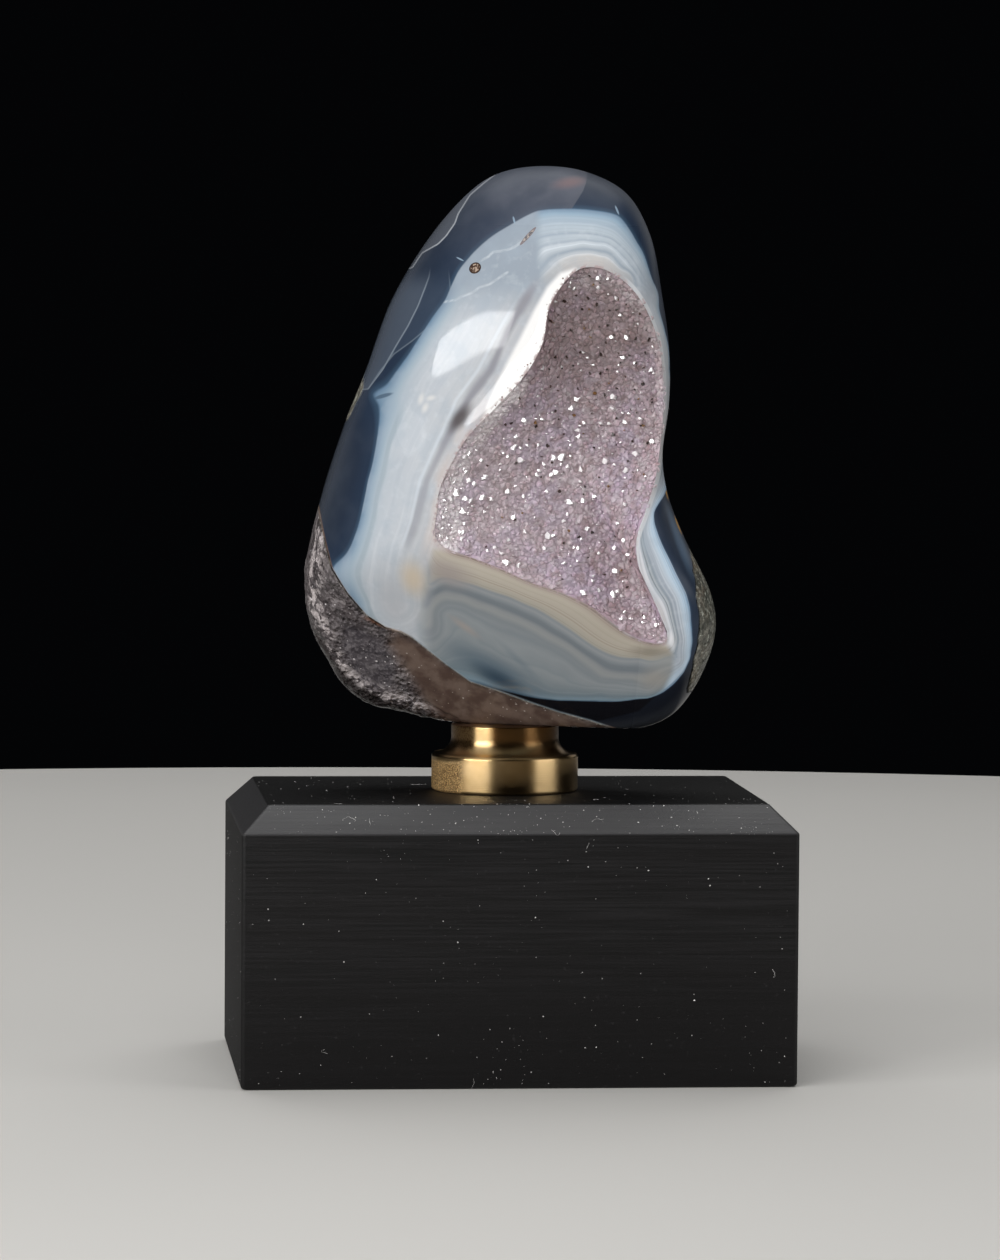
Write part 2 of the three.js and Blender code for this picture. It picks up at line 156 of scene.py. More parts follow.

# Shapes on the front in photograph pixels: the lower face, which looks down and whose colours
# carry painted shade; the crystalline quartz below the end of the polish, with its smooth brown
# and smoky parts; the white band beside the hollow, painted near white as a painted highlight
# over a real white layer; and painted reflections of facets, as pale sheets on the dark skin
SHAPES = {
    "under": [(433, 549), (470, 555), (500, 567), (530, 582), (560, 592), (590, 605), (615, 625),
              (640, 640), (667, 644), (673, 655), (673, 672), (664, 690), (640, 712), (600, 722),
              (560, 722), (500, 712), (470, 694), (445, 668), (418, 640), (414, 620), (420, 590),
              (428, 565)],
    "quartz": [(318, 505), (324, 540), (331, 568), (347, 594), (366, 616), (385, 628),
               (400, 632), (412, 638), (425, 648), (445, 664), (470, 682), (500, 692),
               (530, 703), (560, 713), (590, 721), (615, 729), (615, 760), (300, 760),
               (270, 640), (290, 520)],
    "brown": [(393, 626), (425, 642), (452, 664), (482, 682), (530, 698), (612, 724), (612, 745),
              (455, 745), (425, 705), (405, 672), (388, 645)],
    "smoky": [(342, 622), (364, 626), (384, 640), (396, 660), (394, 684), (374, 690), (352, 672),
              (340, 646)],
    "white": [(575, 268), (560, 273), (547, 287), (534, 310), (521, 336), (508, 360), (497, 383),
              (487, 406), (483, 420), (495, 422), (520, 400), (545, 360), (556, 325), (566, 295),
              (582, 276)],
    "reflection_sheet": [(422, 252), (431, 266), (429, 277), (425, 288), (418, 306), (408, 326), (396, 346),
              (383, 369), (368, 389), (340, 392), (350, 330), (376, 280), (402, 250)],
    "reflection_fold": [(368, 389), (380, 371), (394, 354), (412, 341), (431, 325), (452, 308), (448, 262),
             (431, 262), (429, 277), (425, 288), (418, 306), (408, 326), (396, 346), (383, 369)],
    "reflection_sliver": [(500, 171), (484, 183), (470, 195), (458, 214), (455, 223), (446, 236),
               (438, 244), (422, 253), (412, 268), (380, 270), (410, 215), (450, 165),
               (500, 140)],
}

# Spots of rind that reach round to the front
RIND_SHAPES = [
    [(688, 545), (692, 570), (696, 590), (698, 606), (698, 626), (696, 645), (692, 664),
     (687, 692), (720, 700), (740, 620), (725, 545)],
    [(367, 366), (363, 388), (355, 404), (347, 420), (330, 425), (345, 370)],
]

# Lines drawn downwards in photograph pixels: the sharp right edge of a painted reflection of the
# overhead softbox on the dark skin, the grey streak beside the white band, and the thin pale
# line outside it. Then the wisps.
LINES = {
    "reflection_edge": [(588, 165), (586, 183), (583, 191), (578, 199), (571, 210)],
    "streak": [(546, 266), (531, 290), (508, 330), (491, 370), (468, 400), (457, 420),
               (446, 440), (427, 480), (416, 520), (407, 548), (404, 565)],
    "thread": [(524, 286), (499, 330), (478, 370), (456, 400), (449, 418), (438, 440),
               (420, 480), (411, 520), (401, 550), (396, 580), (398, 604)],
}
WISPS = [
    [(480, 261), (488, 257), (493, 252), (502, 251), (510, 249), (516, 246), (524, 240)],
    [(444, 302), (455, 300), (463, 296), (472, 293), (480, 287), (490, 284), (500, 277),
     (508, 272)],
]

# Sparkling pale crystals along the hollow's edges: how pale, and photograph pixels
FROST_PATCHES = [
    (1.0, [(436, 548), (435, 515), (441, 490), (450, 465), (463, 443), (478, 420), (495, 405),
           (515, 385), (520, 392), (500, 415), (482, 440), (466, 470), (458, 500), (462, 530),
           (456, 552)]),
    (0.9, [(478, 420), (492, 396), (512, 372), (528, 372), (522, 396), (505, 412), (490, 425)]),
    (0.25, [(566, 280), (600, 264), (632, 284), (652, 310), (668, 350), (670, 400), (668, 440),
            (660, 440), (658, 400), (654, 350), (640, 318), (622, 296), (600, 282), (575, 290)]),
    (0.12, [(636, 570), (652, 596), (668, 630), (666, 646), (648, 640), (640, 610), (630, 585)]),
]

# Marks on the front: the middle and the tip of an oval's long axis in photograph pixels,
# its half width in millimetres, the shares of it where the mark starts and is full, its
# strength, and its colour where it has one of its own
UNDER_MARKS = [
    ((520, 662), (542, 684), 0.7, 1.45, 0.05, 0.35, (104, 119, 130)),
    ((497, 672), (545, 698), 2.5, 1.45, 0.05, 0.8, (84, 102, 116)),
    ((500, 680), (526, 694), 1.5, 1.45, 0.05, 0.8, (44, 62, 78)),
    ((652, 652), (676, 653), 1.2, 1.45, 0.05, 0.6, (112, 106, 94)),
    ((465, 627), (480, 638), 0.7, 1.45, 0.05, 0.6, (168, 156, 148)),
    ((656, 679), (674, 673), 2.2, 1.45, 0.05, 0.75, (154, 150, 144)),
    ((668, 662), (690, 659), 1.7, 1.45, 0.05, 0.75, (152, 154, 153)),
    ((447, 572), (474, 582), 2.4, 1.45, 0.05, 0.8, (158, 149, 145)),
]
SKIN_MARKS = [
    ((680, 541), (667, 503), 1.0, 1.3, 0.3, 0.7, (84, 104, 126)),
    ((666, 491), (668, 497), 0.3, 1.2, 0.6, 0.8, (186, 142, 74)),
    ((678, 525), (681, 531), 0.35, 1.2, 0.6, 0.8, (186, 142, 74)),
]
BODY_MARKS = [
    ((672, 641), (673, 651), 0.6, 1.3, 0.2, 0.6, (236, 236, 238)),
    ((393, 600), (396, 626), 3.0, 1.2, 0.3, 0.6, (182, 183, 187)),
    ((413, 579), (415, 600), 2.8, 1.3, 0.1, 0.75, (204, 186, 160)),
    ((421, 399), (423, 393), 0.55, 1.5, 0.1, 0.6, (222, 219, 215)),
    ((431, 398), (436, 397), 0.5, 1.5, 0.1, 0.6, (222, 219, 215)),
    ((425, 408), (428, 403), 0.6, 1.5, 0.1, 0.6, (222, 219, 215)),
    ((383, 396), (394, 393), 0.42, 1.1, 0.6, 0.85, (76, 94, 112)),
]
SPIKE_MARKS = [
    ((460, 259), (456, 257), 0.16, 1.1, 0.6, 0.7, (150, 172, 192)),
    ((617, 210), (615, 205), 0.2, 1.1, 0.6, 0.7, (150, 172, 192)),
    ((514, 220), (513, 216), 0.2, 1.1, 0.6, 0.7, (150, 172, 192)),
]
SMOKE_MARK = ((460, 418), (473, 402), 1.7, 1.2, 0.2, 0.9)
EMBER_MARK = ((571, 182), (587, 178), 1.5, 1.2, 0.1, 0.5)
RUST_MARK = ((383, 624), (403, 631), 0.7, 1.3, 0.2, 0.8)
WORN_MARK = ((410, 431), (415, 452), 2.6, 1.4, 0.7, 0.4)
MARK_DEPTH = 12

# Grainy spots with a dark border: the oval, its strength and the border's colour
GRAINY_SPOTS = [
    (((475, 268), (481, 268), 1.05), 1.0, (58, 44, 38)),
    (((528, 236), (536, 227), 0.34), 0.7, (112, 80, 74)),
]

# Where the painted reflections of facets fade out, where the level bands of the top and the
# bands of the right side begin, and the ends of the thin lines and streaks, in photograph pixels
REFLECTIONS_TOP = (430, 266)
TOP_SEAM = (541, 245)
RIGHT_SIDE = (600, 400)
LOBE_TOP = (662, 440)
RIM_FOOT = (672, 640)
UNDER_LEFT = (412, 600)
DARK_FOOT = (680, 670)
BROWN_FOOT = (480, 732)
PATCH_TOP = (500, 282)
THIN_LINE_TOP = (402, 402)
TOP_STARTS = (560, 300)
STREAK_TOP = (540, 272)
STREAK_MIDDLE = (470, 425)
STREAK_BOTTOM = (404, 560)

# Colours along the bands and over the crystals: a share of the way, red, green and blue
LEVEL_BANDS = [
    (0.0, 182, 168, 162), (0.12, 192, 183, 177), (0.34, 190, 187, 184), (0.395, 202, 204, 206),
    (0.43, 172, 179, 186), (0.46, 150, 160, 170), (0.5, 176, 184, 191), (0.53, 200, 207, 213),
    (0.56, 186, 194, 201), (0.59, 162, 172, 183), (0.63, 180, 189, 196), (0.68, 178, 187, 195),
    (0.71, 156, 167, 179), (0.74, 176, 186, 194), (0.84, 173, 185, 195), (0.86, 160, 174, 187),
    (0.9, 162, 178, 191), (0.95, 142, 164, 182), (1.0, 102, 128, 152),
]
UPPER_BANDS = [
    (0.0, 188, 172, 169), (0.05, 192, 181, 178), (0.2, 188, 183, 182), (0.33, 182, 182, 185),
    (0.45, 184, 187, 191), (0.6, 187, 191, 196), (0.72, 184, 189, 195), (0.8, 179, 186, 193),
    (0.86, 168, 179, 188), (0.9, 156, 171, 183), (0.94, 140, 159, 175), (0.975, 118, 141, 161),
    (1.0, 96, 121, 145),
]
LOBE_BANDS = [
    (0.0, 186, 182, 184), (0.1, 206, 206, 210), (0.16, 198, 200, 204), (0.2, 118, 126, 132),
    (0.25, 168, 174, 180), (0.3, 130, 140, 148), (0.36, 172, 178, 186), (0.5, 164, 172, 182),
    (0.6, 180, 190, 200), (0.78, 184, 203, 219), (0.88, 176, 198, 216), (0.95, 134, 162, 188),
    (1.0, 70, 100, 130),
]
# Colours of the lower face's bands, darker in part as painted shade where the face looks down
UNDER_BANDS = [
    (0.0, 150, 134, 130), (0.02, 128, 110, 104), (0.035, 170, 158, 148), (0.1, 181, 173, 160),
    (0.24, 179, 171, 159), (0.3, 168, 164, 154), (0.322, 138, 144, 149), (0.345, 150, 154, 156),
    (0.372, 134, 140, 145), (0.39, 122, 129, 134), (0.415, 120, 127, 133),
    (0.445, 145, 148, 150), (0.475, 150, 153, 153), (0.52, 134, 140, 144), (0.6, 138, 144, 148),
    (0.7, 144, 150, 153), (0.8, 130, 139, 144), (0.9, 116, 130, 138), (0.965, 124, 144, 156),
    (0.985, 92, 114, 130), (1.0, 44, 60, 76),
]
SKIN_BANDS = [
    (0.0, 58, 78, 98), (0.05, 40, 52, 70), (0.25, 40, 49, 64), (0.6, 54, 60, 70),
    (1.0, 60, 62, 68),
]
QUARTZ_TONES = [(0.0, 58, 52, 53), (0.4, 82, 75, 76), (0.75, 104, 97, 98), (1.0, 138, 131, 131)]
AMETHYST_TONES = [(0.0, 172, 149, 156), (0.5, 188, 165, 174), (1.0, 204, 184, 192)]
SPECK_TONES = [(0.4, 112, 80, 42), (0.8, 44, 32, 26)]


def srgb(red, green, blue):
    """A colour given as 0 to 255 values, as linear values for a shader."""
    shares = np.array([red, green, blue], float) / 255
    linear = np.where(shares <= 0.04045, shares / 12.92, ((shares + 0.055) / 1.055) ** 2.4)
    return (*map(float, linear), 1.0)


def smoothstep(values, low, high):
    share = np.clip((values - low) / (high - low), 0, 1)
    return share * share * (3 - 2 * share)


def unit(vectors):
    return vectors / np.linalg.norm(vectors, axis=-1, keepdims=True)


def even_turns(steps, first=0):
    return np.linspace(first, first + 2 * math.pi, steps, endpoint=False)


class PolarOutline:
    """A smooth closed outline read by bearing from a centre inside it."""

    def __init__(self, points, centre, steps=720):
        corners, self.centre = np.array(points, float), np.array(centre, float)
        places = np.arange(steps) / steps * len(corners)
        before = places.astype(int)
        share = (places - before)[:, None]
        p0, p1, p2, p3 = (corners[(before + shift) % len(corners)] for shift in (-1, 0, 1, 2))
        away = 0.5 * (2 * p1 + (p2 - p0) * share + (2 * p0 - 5 * p1 + 4 * p2 - p3) * share ** 2
                      + (3 * p1 - p0 - 3 * p2 + p3) * share ** 3) - self.centre
        bearings = np.arctan2(away[:, 1], away[:, 0])
        order = np.argsort(bearings)
        self.bearings = bearings[order]
        self.reaches = np.hypot(*away.T)[order]

    def reach(self, bearing):
        return np.interp(bearing, self.bearings, self.reaches, period=2 * math.pi)

    def room(self, spots):
        """Distance of spots from the outline, towards its centre."""
        right, up = (spots - self.centre).T
        return self.reach(np.arctan2(up, right)) - np.hypot(right, up)


stone_outline = PolarOutline(STONE_OUTLINE, STONE_CENTRE)
hollow_rim = PolarOutline(HOLLOW_RIM, HOLLOW_CENTRE)


def skin_gauge(across, depth, height):
    """1 on the stone's skin for places measured from its centre, less inside it."""
    bearing = np.arctan2(height, across)
    from_sheet = depth + LEAN * across
    rightness = 0.5 + 0.5 * np.cos(bearing)
    in_front = from_sheet < 0
    front_power = POWER_LEFT + (POWER_RIGHT - POWER_LEFT) * rightness ** 2
    power = np.where(in_front, front_power, POWER_BACK)
    half_depth = np.where(in_front, HALF_DEPTH_FRONT, HALF_DEPTH_BACK)
    flat_part = np.hypot(across, height) / stone_outline.reach(bearing)
    deep_part = np.abs(from_sheet) / half_depth
    total = (flat_part ** power + deep_part ** power) ** (FLAT_SHARPNESS / power)
    ahead = across * FLAT_FACING[0] + depth * FLAT_FACING[1] + height * FLAT_FACING[2]
    total = total + (np.maximum(0, ahead) / FLAT_DISTANCE) ** FLAT_SHARPNESS
    return total ** (1 / FLAT_SHARPNESS)


def front_depth(across, height):
    """Depth of the polished front behind places on the front view."""
    outside = np.full(np.shape(across), FAR_IN_FRONT)
    inside = -LEAN * np.asarray(across, float)
    for _ in range(SEARCH_ROUNDS):
        middle = (outside + inside) / 2
        within = skin_gauge(across, middle, height - STONE_CENTRE[1]) < 1
        inside = np.where(within, middle, inside)
        outside = np.where(within, outside, middle)
    return (outside + inside) / 2


def even_draws(seed):
    """The same even draws from 0 to 1 as the part's source makes."""
    state = seed
    while True:
        state += 0x6D2B79F5
        t = state & 0xFFFFFFFF
        t = ((t ^ t >> 15) * (t | 1)) & 0xFFFFFFFF
        t ^= (t + (t ^ t >> 7) * (t | 61)) & 0xFFFFFFFF
        yield (t ^ t >> 14) / 4294967296


def knob_relief(places):
    """Rise of the rind's knobs and pits at places measured from the stone's centre."""
    draws = even_draws(KNOB_SEED)
    next(draws)
    relief = np.zeros(len(places))
    for index in range(KNOB_COUNT):
        lift = 1 - 2 * (index + 0.1 + 0.8 * next(draws)) / KNOB_COUNT
        turn = index * math.pi * (3 - math.sqrt(5)) - 0.25 + 0.5 * next(draws)
        flat = math.sqrt(1 - lift * lift)
        middle = np.array([flat * math.cos(turn), flat * math.sin(turn), lift])
        middle /= skin_gauge(*middle)
        radius, rise = (low + (high - low) * next(draws) for low, high in (KNOB_RADII, KNOB_RISES))
        share = np.clip(1 - ((places - middle) ** 2).sum(1) / radius ** 2, 0, 1)
        relief += rise * share ** 2
    return relief


def lip_rise(places):
    """Rise of the white lip beside the hollow, at places from the stone's centre."""
    spots = places[:, [0, 2]] + np.array([0, STONE_CENTRE[1]])
    right, up = (spots - hollow_rim.centre).T
    turned = np.arctan2(up, right) - LIP_BEARING
    off_course = np.arctan2(np.sin(turned), np.cos(turned)) / LIP_SPREAD
    on_front = smoothstep(-places[:, 1], 0, HALF_DEPTH_FRONT / 2)
    beyond = hollow_rim.room(spots) / LIP_WIDTH
    return LIP_RISE * on_front * np.exp(-beyond ** 2 - off_course ** 4)


def rind_share(places):
    """How far places from the stone's centre are natural rind, 0 on the polish."""
    behind = smoothstep(places[:, 1] + LEAN * places[:, 0], RIND_STARTS_BEHIND, RIND_FULL_BEHIND)
    beyond = places[:, [0, 2]] @ POLISH_END_DIRECTION
    below = smoothstep(beyond, POLISH_END_DISTANCE, POLISH_END_DISTANCE + POLISH_END_FADE)
    return np.maximum(behind, POLISH_END_RIND * below)


def crust_level(spots):
    """Depth at which the crystals' feet stand in the hollow."""
    right, up = (spots - hollow_rim.centre).T
    bearing = np.arctan2(up, right)
    reach = hollow_rim.reach(bearing)
    share = np.minimum(1, np.hypot(right, up) / reach)
    rim_depth = front_depth(HOLLOW_CENTRE[0] + reach * np.cos(bearing),
                            HOLLOW_CENTRE[1] + reach * np.sin(bearing)) + CRUST_SINK
    return HOLLOW_MIDDLE_DEPTH + (rim_depth - HOLLOW_MIDDLE_DEPTH) * share ** 2


def at_depth(spots, depth):
    """Spots on the front view set at a depth, as places in the stone's frame."""
    return np.stack([spots[:, 0], np.broadcast_to(depth, len(spots)), spots[:, 1]], axis=1)


def to_frame(places):
    """Places in the stone's frame, in millimetres, as metres in the model's frame."""
    return np.asarray(places, float) @ STONE_TURN.T * MM + SEAT


def front_places(pixels):
    """Where photograph pixels fall on the stone's front, as across and height."""
    pixels = np.array(pixels, float)
    aims = at_depth((pixels - (PHOTO_WIDTH / 2, PHOTO_HEIGHT / 2)) / (FOCAL_PIXELS, -FOCAL_PIXELS),
                    1.0)
    aims = aims @ np.array(CAMERA_TURN).T @ STONE_TURN
    start = (CAMERA_PLACE_MM - SEAT / MM) @ STONE_TURN
    depth = np.full(len(pixels), -HALF_DEPTH_FRONT)
    for _ in range(AIM_ROUNDS):
        places = start + aims * ((depth - start[1]) / aims[:, 1])[:, None]
        depth = front_depth(places[:, 0], places[:, 2])
    return places[:, [0, 2]]


def front_spot(pixel):
    """Where a photograph pixel falls on the front, in millimetres in the model's frame."""
    across, height = front_places([pixel])[0]
    return to_frame([across, float(front_depth(across, height)), height]) / MM


def fit_surface(sites, values, stiffness):
    """A thin-plate surface over the front through values at sites."""
    sites = np.array(sites, float)
    count = len(sites)

    def plate(gaps):
        return gaps * gaps * np.log(np.maximum(gaps, 1e-6))

    flat = np.hstack([np.ones((count, 1)), sites])
    system = np.zeros((count + 3, count + 3))
    system[:count, :count] = plate(np.linalg.norm(sites[:, None] - sites[None], axis=2))
    system[:count, :count] += stiffness * np.eye(count)
    system[:count, count:] = flat
    system[count:, :count] = flat.T
    weights = np.linalg.solve(system, np.concatenate([values, np.zeros(3)]))

    def surface(places):
        total = weights[count] + places @ weights[count + 1:]
        for site, weight in zip(sites, weights[:count]):
            total = total + weight * plate(np.hypot(*(places - site).T))
        return total

    return surface


def line_parts(places, corners):
    """The ends of each part of a line, and the gaps of places from its nearest point."""
    for start, end in zip(corners, corners[1:]):
        along = end - start
        share = np.clip(((places - start) @ along) / (along @ along), 0, 1)
        yield start, end, places - start - share[:, None] * along


def inside_by(places, pixels):
    """Distance of places inside a shape drawn on the photograph, negative outside it."""
    corners = front_places(pixels)
    nearest = np.full(len(places), np.inf)
    inside = np.zeros(len(places), bool)
    height = places[:, 1]
    for start, end, gap in line_parts(places, [*corners, corners[0]]):
        nearest = np.minimum(nearest, np.hypot(*gap.T))
        crosses = (start[1] > height) != (end[1] > height)
        with np.errstate(divide="ignore", invalid="ignore"):
            cut = start[0] + (height - start[1]) * (end[0] - start[0]) / (end[1] - start[1])
        inside ^= crosses & (places[:, 0] < cut)
    return np.where(inside, nearest, -nearest)


def line_offset(places, pixels):
    """Distance of places from an open line drawn downwards, negative on its left."""
    nearest = np.full(len(places), np.inf)
    offset = np.zeros(len(places))
    for start, end, gap in line_parts(places, front_places(pixels)):
        along = end - start
        away = np.hypot(*gap.T)
        side = np.sign(along[0] * gap[:, 1] - along[1] * gap[:, 0])
        offset = np.where(away < nearest, side * away, offset)
        nearest = np.minimum(nearest, away)
    return offset


def photo_mask(places, pixels, softness):
    """1 inside a shape drawn on the photograph, 0 outside, with an edge that soft."""
    return smoothstep(inside_by(places, pixels), -softness, softness)


class Graph:
    """The shader nodes of one material. A colour is given as 0 to 255 values, a place in
    millimetres in the model's frame."""

    def __init__(self, name):
        self.material = bpy.data.materials.new(name)
        self.material.use_nodes = True
        self.tree = self.material.node_tree
        self.tree.nodes.clear()
        coordinates = self.node("TexCoord", {}).outputs["Object"]
        self.place = self.vector("MULTIPLY", coordinates, (1 / MM,) * 3)

    def node(self, kind, inputs, **settings):
        """A new node, with values or links in its inputs by name or number."""
        node = self.tree.nodes.new("ShaderNode" + kind)
        for setting, value in settings.items():
            setattr(node, setting, value)
        for name, value in inputs.items():
            if isinstance(value, bpy.types.NodeSocket):
                self.tree.links.new(value, node.inputs[name])
            else:
                node.inputs[name].default_value = value
        return node

    def vector(self, operation, first, second):
        return self.node("VectorMath", {0: first, 1: second}, operation=operation).outputs[0]

    def math(self, operation, first, *others):
        """Parts taken together from the left."""
        for other in others or [0.0]:
            first = self.node("Math", {0: first, 1: other}, operation=operation).outputs[0]
        return first

    def times(self, *parts):
        return self.math("MULTIPLY", *parts)

    def size(self, value):
        return self.math("ABSOLUTE", value)

    def part(self, axis):
        return self.node("SeparateXYZ", {0: self.place}).outputs[axis]

    def attribute(self, name):
        return self.node("Attribute", {}, attribute_name=name).outputs["Fac"]

    def mix(self, share, first, second):
        first, second = (srgb(*given) if isinstance(given, tuple) else given
                         for given in (first, second))
        return self.node("Mix", {0: share, 6: first, 7: second}, data_type="RGBA").outputs[2]

    def tinted(self, colour, tints):
        """A colour with tints laid over it in turn, each a share and a colour."""
        for share, tint in tints:
            colour = self.mix(share, colour, tint)
        return colour

    def noise(self, size, detail, roughness=0.5, where=None, stretch=(1, 1, 1)):
        """Even noise with lumps about that many millimetres across."""
        scaled = self.vector("DIVIDE", where or self.place, tuple(size * way for way in stretch))
        return self.node("TexNoise", {"Vector": scaled, "Scale": 1.0, "Detail": detail,
                                      "Roughness": roughness}).outputs["Fac"]

    def sway(self, size, detail):
        """Noise to either side of nothing."""
        return self.math("SUBTRACT", self.noise(size, detail), 0.5)

    def line_noise(self, along, pitch):
        """Noise along one value only, for the agate's fine bands."""
        return self.node("TexNoise", {"W": self.math("DIVIDE", along, pitch), "Scale": 1.0,
                                      "Detail": 2.0, "Roughness": 0.6},
                         noise_dimensions="1D").outputs["Fac"]

    def cells(self, size, output="Distance"):
        scaled = self.vector("DIVIDE", self.place, (size,) * 3)
        return self.node("TexVoronoi", {"Vector": scaled, "Scale": 1.0}).outputs[output]

    def cell_tone(self, size):
        return self.node("SeparateColor", {0: self.cells(size, "Color")}).outputs[0]

    def fade(self, value, low, high, at_high=1.0, at_low=0.0):
        inputs = dict(enumerate((value, low, high, at_low, at_high)))
        return self.node("MapRange", inputs, interpolation_type="SMOOTHSTEP").outputs[0]

    def patches(self, size, detail, *given):
        """A fade over noise."""
        return self.fade(self.noise(size, detail), *given)

    def within(self, name, *given):
        """A fade over one of the mesh's values."""
        return self.fade(self.attribute(name), *given)

    def past(self, axis, pixel, start, end, *given):
        """A fade along an axis, between distances past a photograph pixel's place."""
        at = front_spot(pixel)["XYZ".index(axis)]
        return self.fade(self.part(axis), at + start, at + end, *given)

    def oval(self, middle, tip, half_width):
        """Distance from an oval's middle on the front, 1 at its edge."""
        start = front_spot(middle)
        along = Vector(front_spot(tip) - start)
        across = along.cross(CAMERA_TURN @ Vector((0, 1, 0))).normalized()
        through = along.normalized().cross(across)
        turn = Matrix((along.normalized(), across, through)).transposed()
        placed = self.node("Mapping", {
            "Vector": self.place, "Location": start, "Rotation": turn.to_euler(),
            "Scale": (along.length, half_width, MARK_DEPTH)}, vector_type="TEXTURE").outputs[0]
        return self.node("VectorMath", {0: placed}, operation="LENGTH").outputs["Value"]

    def mark(self, middle, tip, half_width, far, near, strength):
        return self.fade(self.oval(middle, tip, half_width), far, near, strength)

    def marks(self, rows):
        return [(self.mark(*mark), colour) for *mark, colour in rows]

    def ramp(self, share, stops):
        node = self.node("ValToRGB", {"Fac": share})
        elements = node.color_ramp.elements
        elements[0].position, elements[1].position = stops[0][0], stops[-1][0]
        for position, *_ in stops[1:-1]:
            elements.new(position)
        for element, (_, *colour) in zip(elements, stops):
            element.color = srgb(*colour)
        return node.outputs["Color"]

    def bump(self, height, depth_mm, before=None):
        inputs = {"Distance": depth_mm * MM, "Height": height}
        if before is not None:
            inputs["Normal"] = before
        return self.node("Bump", inputs).outputs["Normal"]

    def surface(self, **given):
        inputs = {name.replace("_", " "): value for name, value in given.items()}
        self.node("OutputMaterial", {"Surface": self.node("BsdfPrincipled", inputs).outputs[0]})
        return self.material


def add_to_scene(name, data):
    thing = bpy.data.objects.new(name, data)
    bpy.context.scene.collection.objects.link(thing)
    return thing


def new_mesh(name, places, faces):
    mesh = bpy.data.meshes.new(name)
    mesh.from_pydata(np.asarray(places).tolist(), [], faces)
    return mesh


def set_values(mesh, values):
    for name, numbers in values.items():
        layer = mesh.attributes.new(name, "FLOAT", "POINT")
        layer.data.foreach_set("value", np.asarray(numbers, np.float32))


def smooth_below(mesh, edge_angle):
    mesh.polygons.foreach_set("use_smooth", [True] * len(mesh.polygons))
    mesh.set_sharp_from_angle(angle=math.radians(edge_angle))


def add_piece(name, places, faces, material, stands_for=()):
    """A mesh piece of the object that rides on its only body."""
    mesh = new_mesh(name, places, faces)
    mesh.materials.append(material)
    piece = add_to_scene(name, mesh)
    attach(piece, "root")
    if stands_for:
        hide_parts(*stands_for)
    return piece


def ball(parts):
    """Even directions and triangles: an icosahedron whose edges are cut into parts."""
    golden = (1 + math.sqrt(5)) / 2
    corners = np.array([
        (-1, golden, 0), (1, golden, 0), (-1, -golden, 0), (1, -golden, 0),
        (0, -1, golden), (0, 1, golden), (0, -1, -golden), (0, 1, -golden),
        (golden, 0, -1), (golden, 0, 1), (-golden, 0, -1), (-golden, 0, 1),
    ])
    sides = [
        (0, 11, 5), (0, 5, 1), (0, 1, 7), (0, 7, 10), (0, 10, 11), (1, 5, 9), (5, 11, 4),
        (11, 10, 2), (10, 7, 6), (7, 1, 8), (3, 9, 4), (3, 4, 2), (3, 2, 6), (3, 6, 8),
        (3, 8, 9), (4, 9, 5), (2, 4, 11), (6, 2, 10), (8, 6, 7), (9, 8, 1),
    ]
    steps = [(i, j) for i in range(parts + 1) for j in range(parts + 1 - i)]
    number = {step: index for index, step in enumerate(steps)}
    shares = np.array([(parts - i - j, i, j) for i, j in steps]) / parts
    small = []
    for i, j in steps:
        if i + j < parts:
            small.append((number[i, j], number[i + 1, j], number[i, j + 1]))
        if i + j < parts - 1:
            small.append((number[i + 1, j], number[i + 1, j + 1], number[i, j + 1]))
    points = np.concatenate([shares @ corners[list(side)] for side in sides])
    triangles = np.concatenate([np.array(small) + len(steps) * side for side in range(20)])
    _, first, places = np.unique(points.round(6), axis=0, return_index=True, return_inverse=True)
    return unit(points[first]), places.reshape(-1)[triangles]


def disc_rings(shares, steps):
    """Places of rings in the hollow, each a share of the way from its middle to its rim."""
    bearings = even_turns(steps, -math.pi)
    ring = hollow_rim.reach(bearings) * np.array([np.cos(bearings), np.sin(bearings)])
    return [hollow_rim.centre + share * ring.T for share in shares]


def stacked_faces(ring_count, steps, start=0):
    """Faces between rings of points, and at both ends."""
    faces = [(a, b, b + steps, a + steps)
             for ring in range(start, start + (ring_count - 1) * steps, steps)
             for a, b in ((ring + step, ring + (step + 1) % steps) for step in range(steps))]
    last = start + (ring_count - 1) * steps
    ends = range(start + steps - 1, start - 1, -1), range(last, last + steps)
    return [*faces, *map(tuple, ends)]


def rounded(points, radius, steps=4):
    """A line through points with its inner corners rounded."""
    points = np.array(points, float)
    line = [points[0]]
    for before, corner, after in zip(points, points[1:], points[2:]):
        start, end = (corner + way * min(radius / np.linalg.norm(way), 0.45)
                      for way in (before - corner, after - corner))
        line += [(1 - share) ** 2 * start + 2 * share * (1 - share) * corner + share ** 2 * end
                 for share in np.linspace(0, 1, steps + 1)]
    return np.array([*line, points[-1]])


# The agate

BALL_PARTS = 90

# Shares of the ball's width, depth and height, and how far its middle is set back, so
# that its triangles lie evenly over the stone and are finest on the polished front
BALL_STRETCH = (37, 24, 52)
BALL_SHIFT = (0, 0.3, 0)
ROUGH_HEIGHT = 0.55
GRAIN_SIZE = 1.9
FINE_GRAIN_SIZE = 1.6
ROUGH_FROM = 0.02

# How smooth the smoky quartz is beside the brown, and what smoothness takes off the
# knobs and the grain
SMOKY_SMOOTHNESS = 0.7
KNOBS_SMOOTHED = 0.5
GRAIN_SMOOTHED = 0.95

# Distances from a drawn shape are kept up to this many millimetres, shares of the way
# along the bands between these
FARTHEST = 6
BAND_LIMITS = (-0.2, 2.5)

# The rind of the back starts about this far behind the widest line of the stone, and the
# front gives way to the sides between these depths from it
RIND_BEHIND = 3.6
VERGE_DEPTHS = (-2, 0)

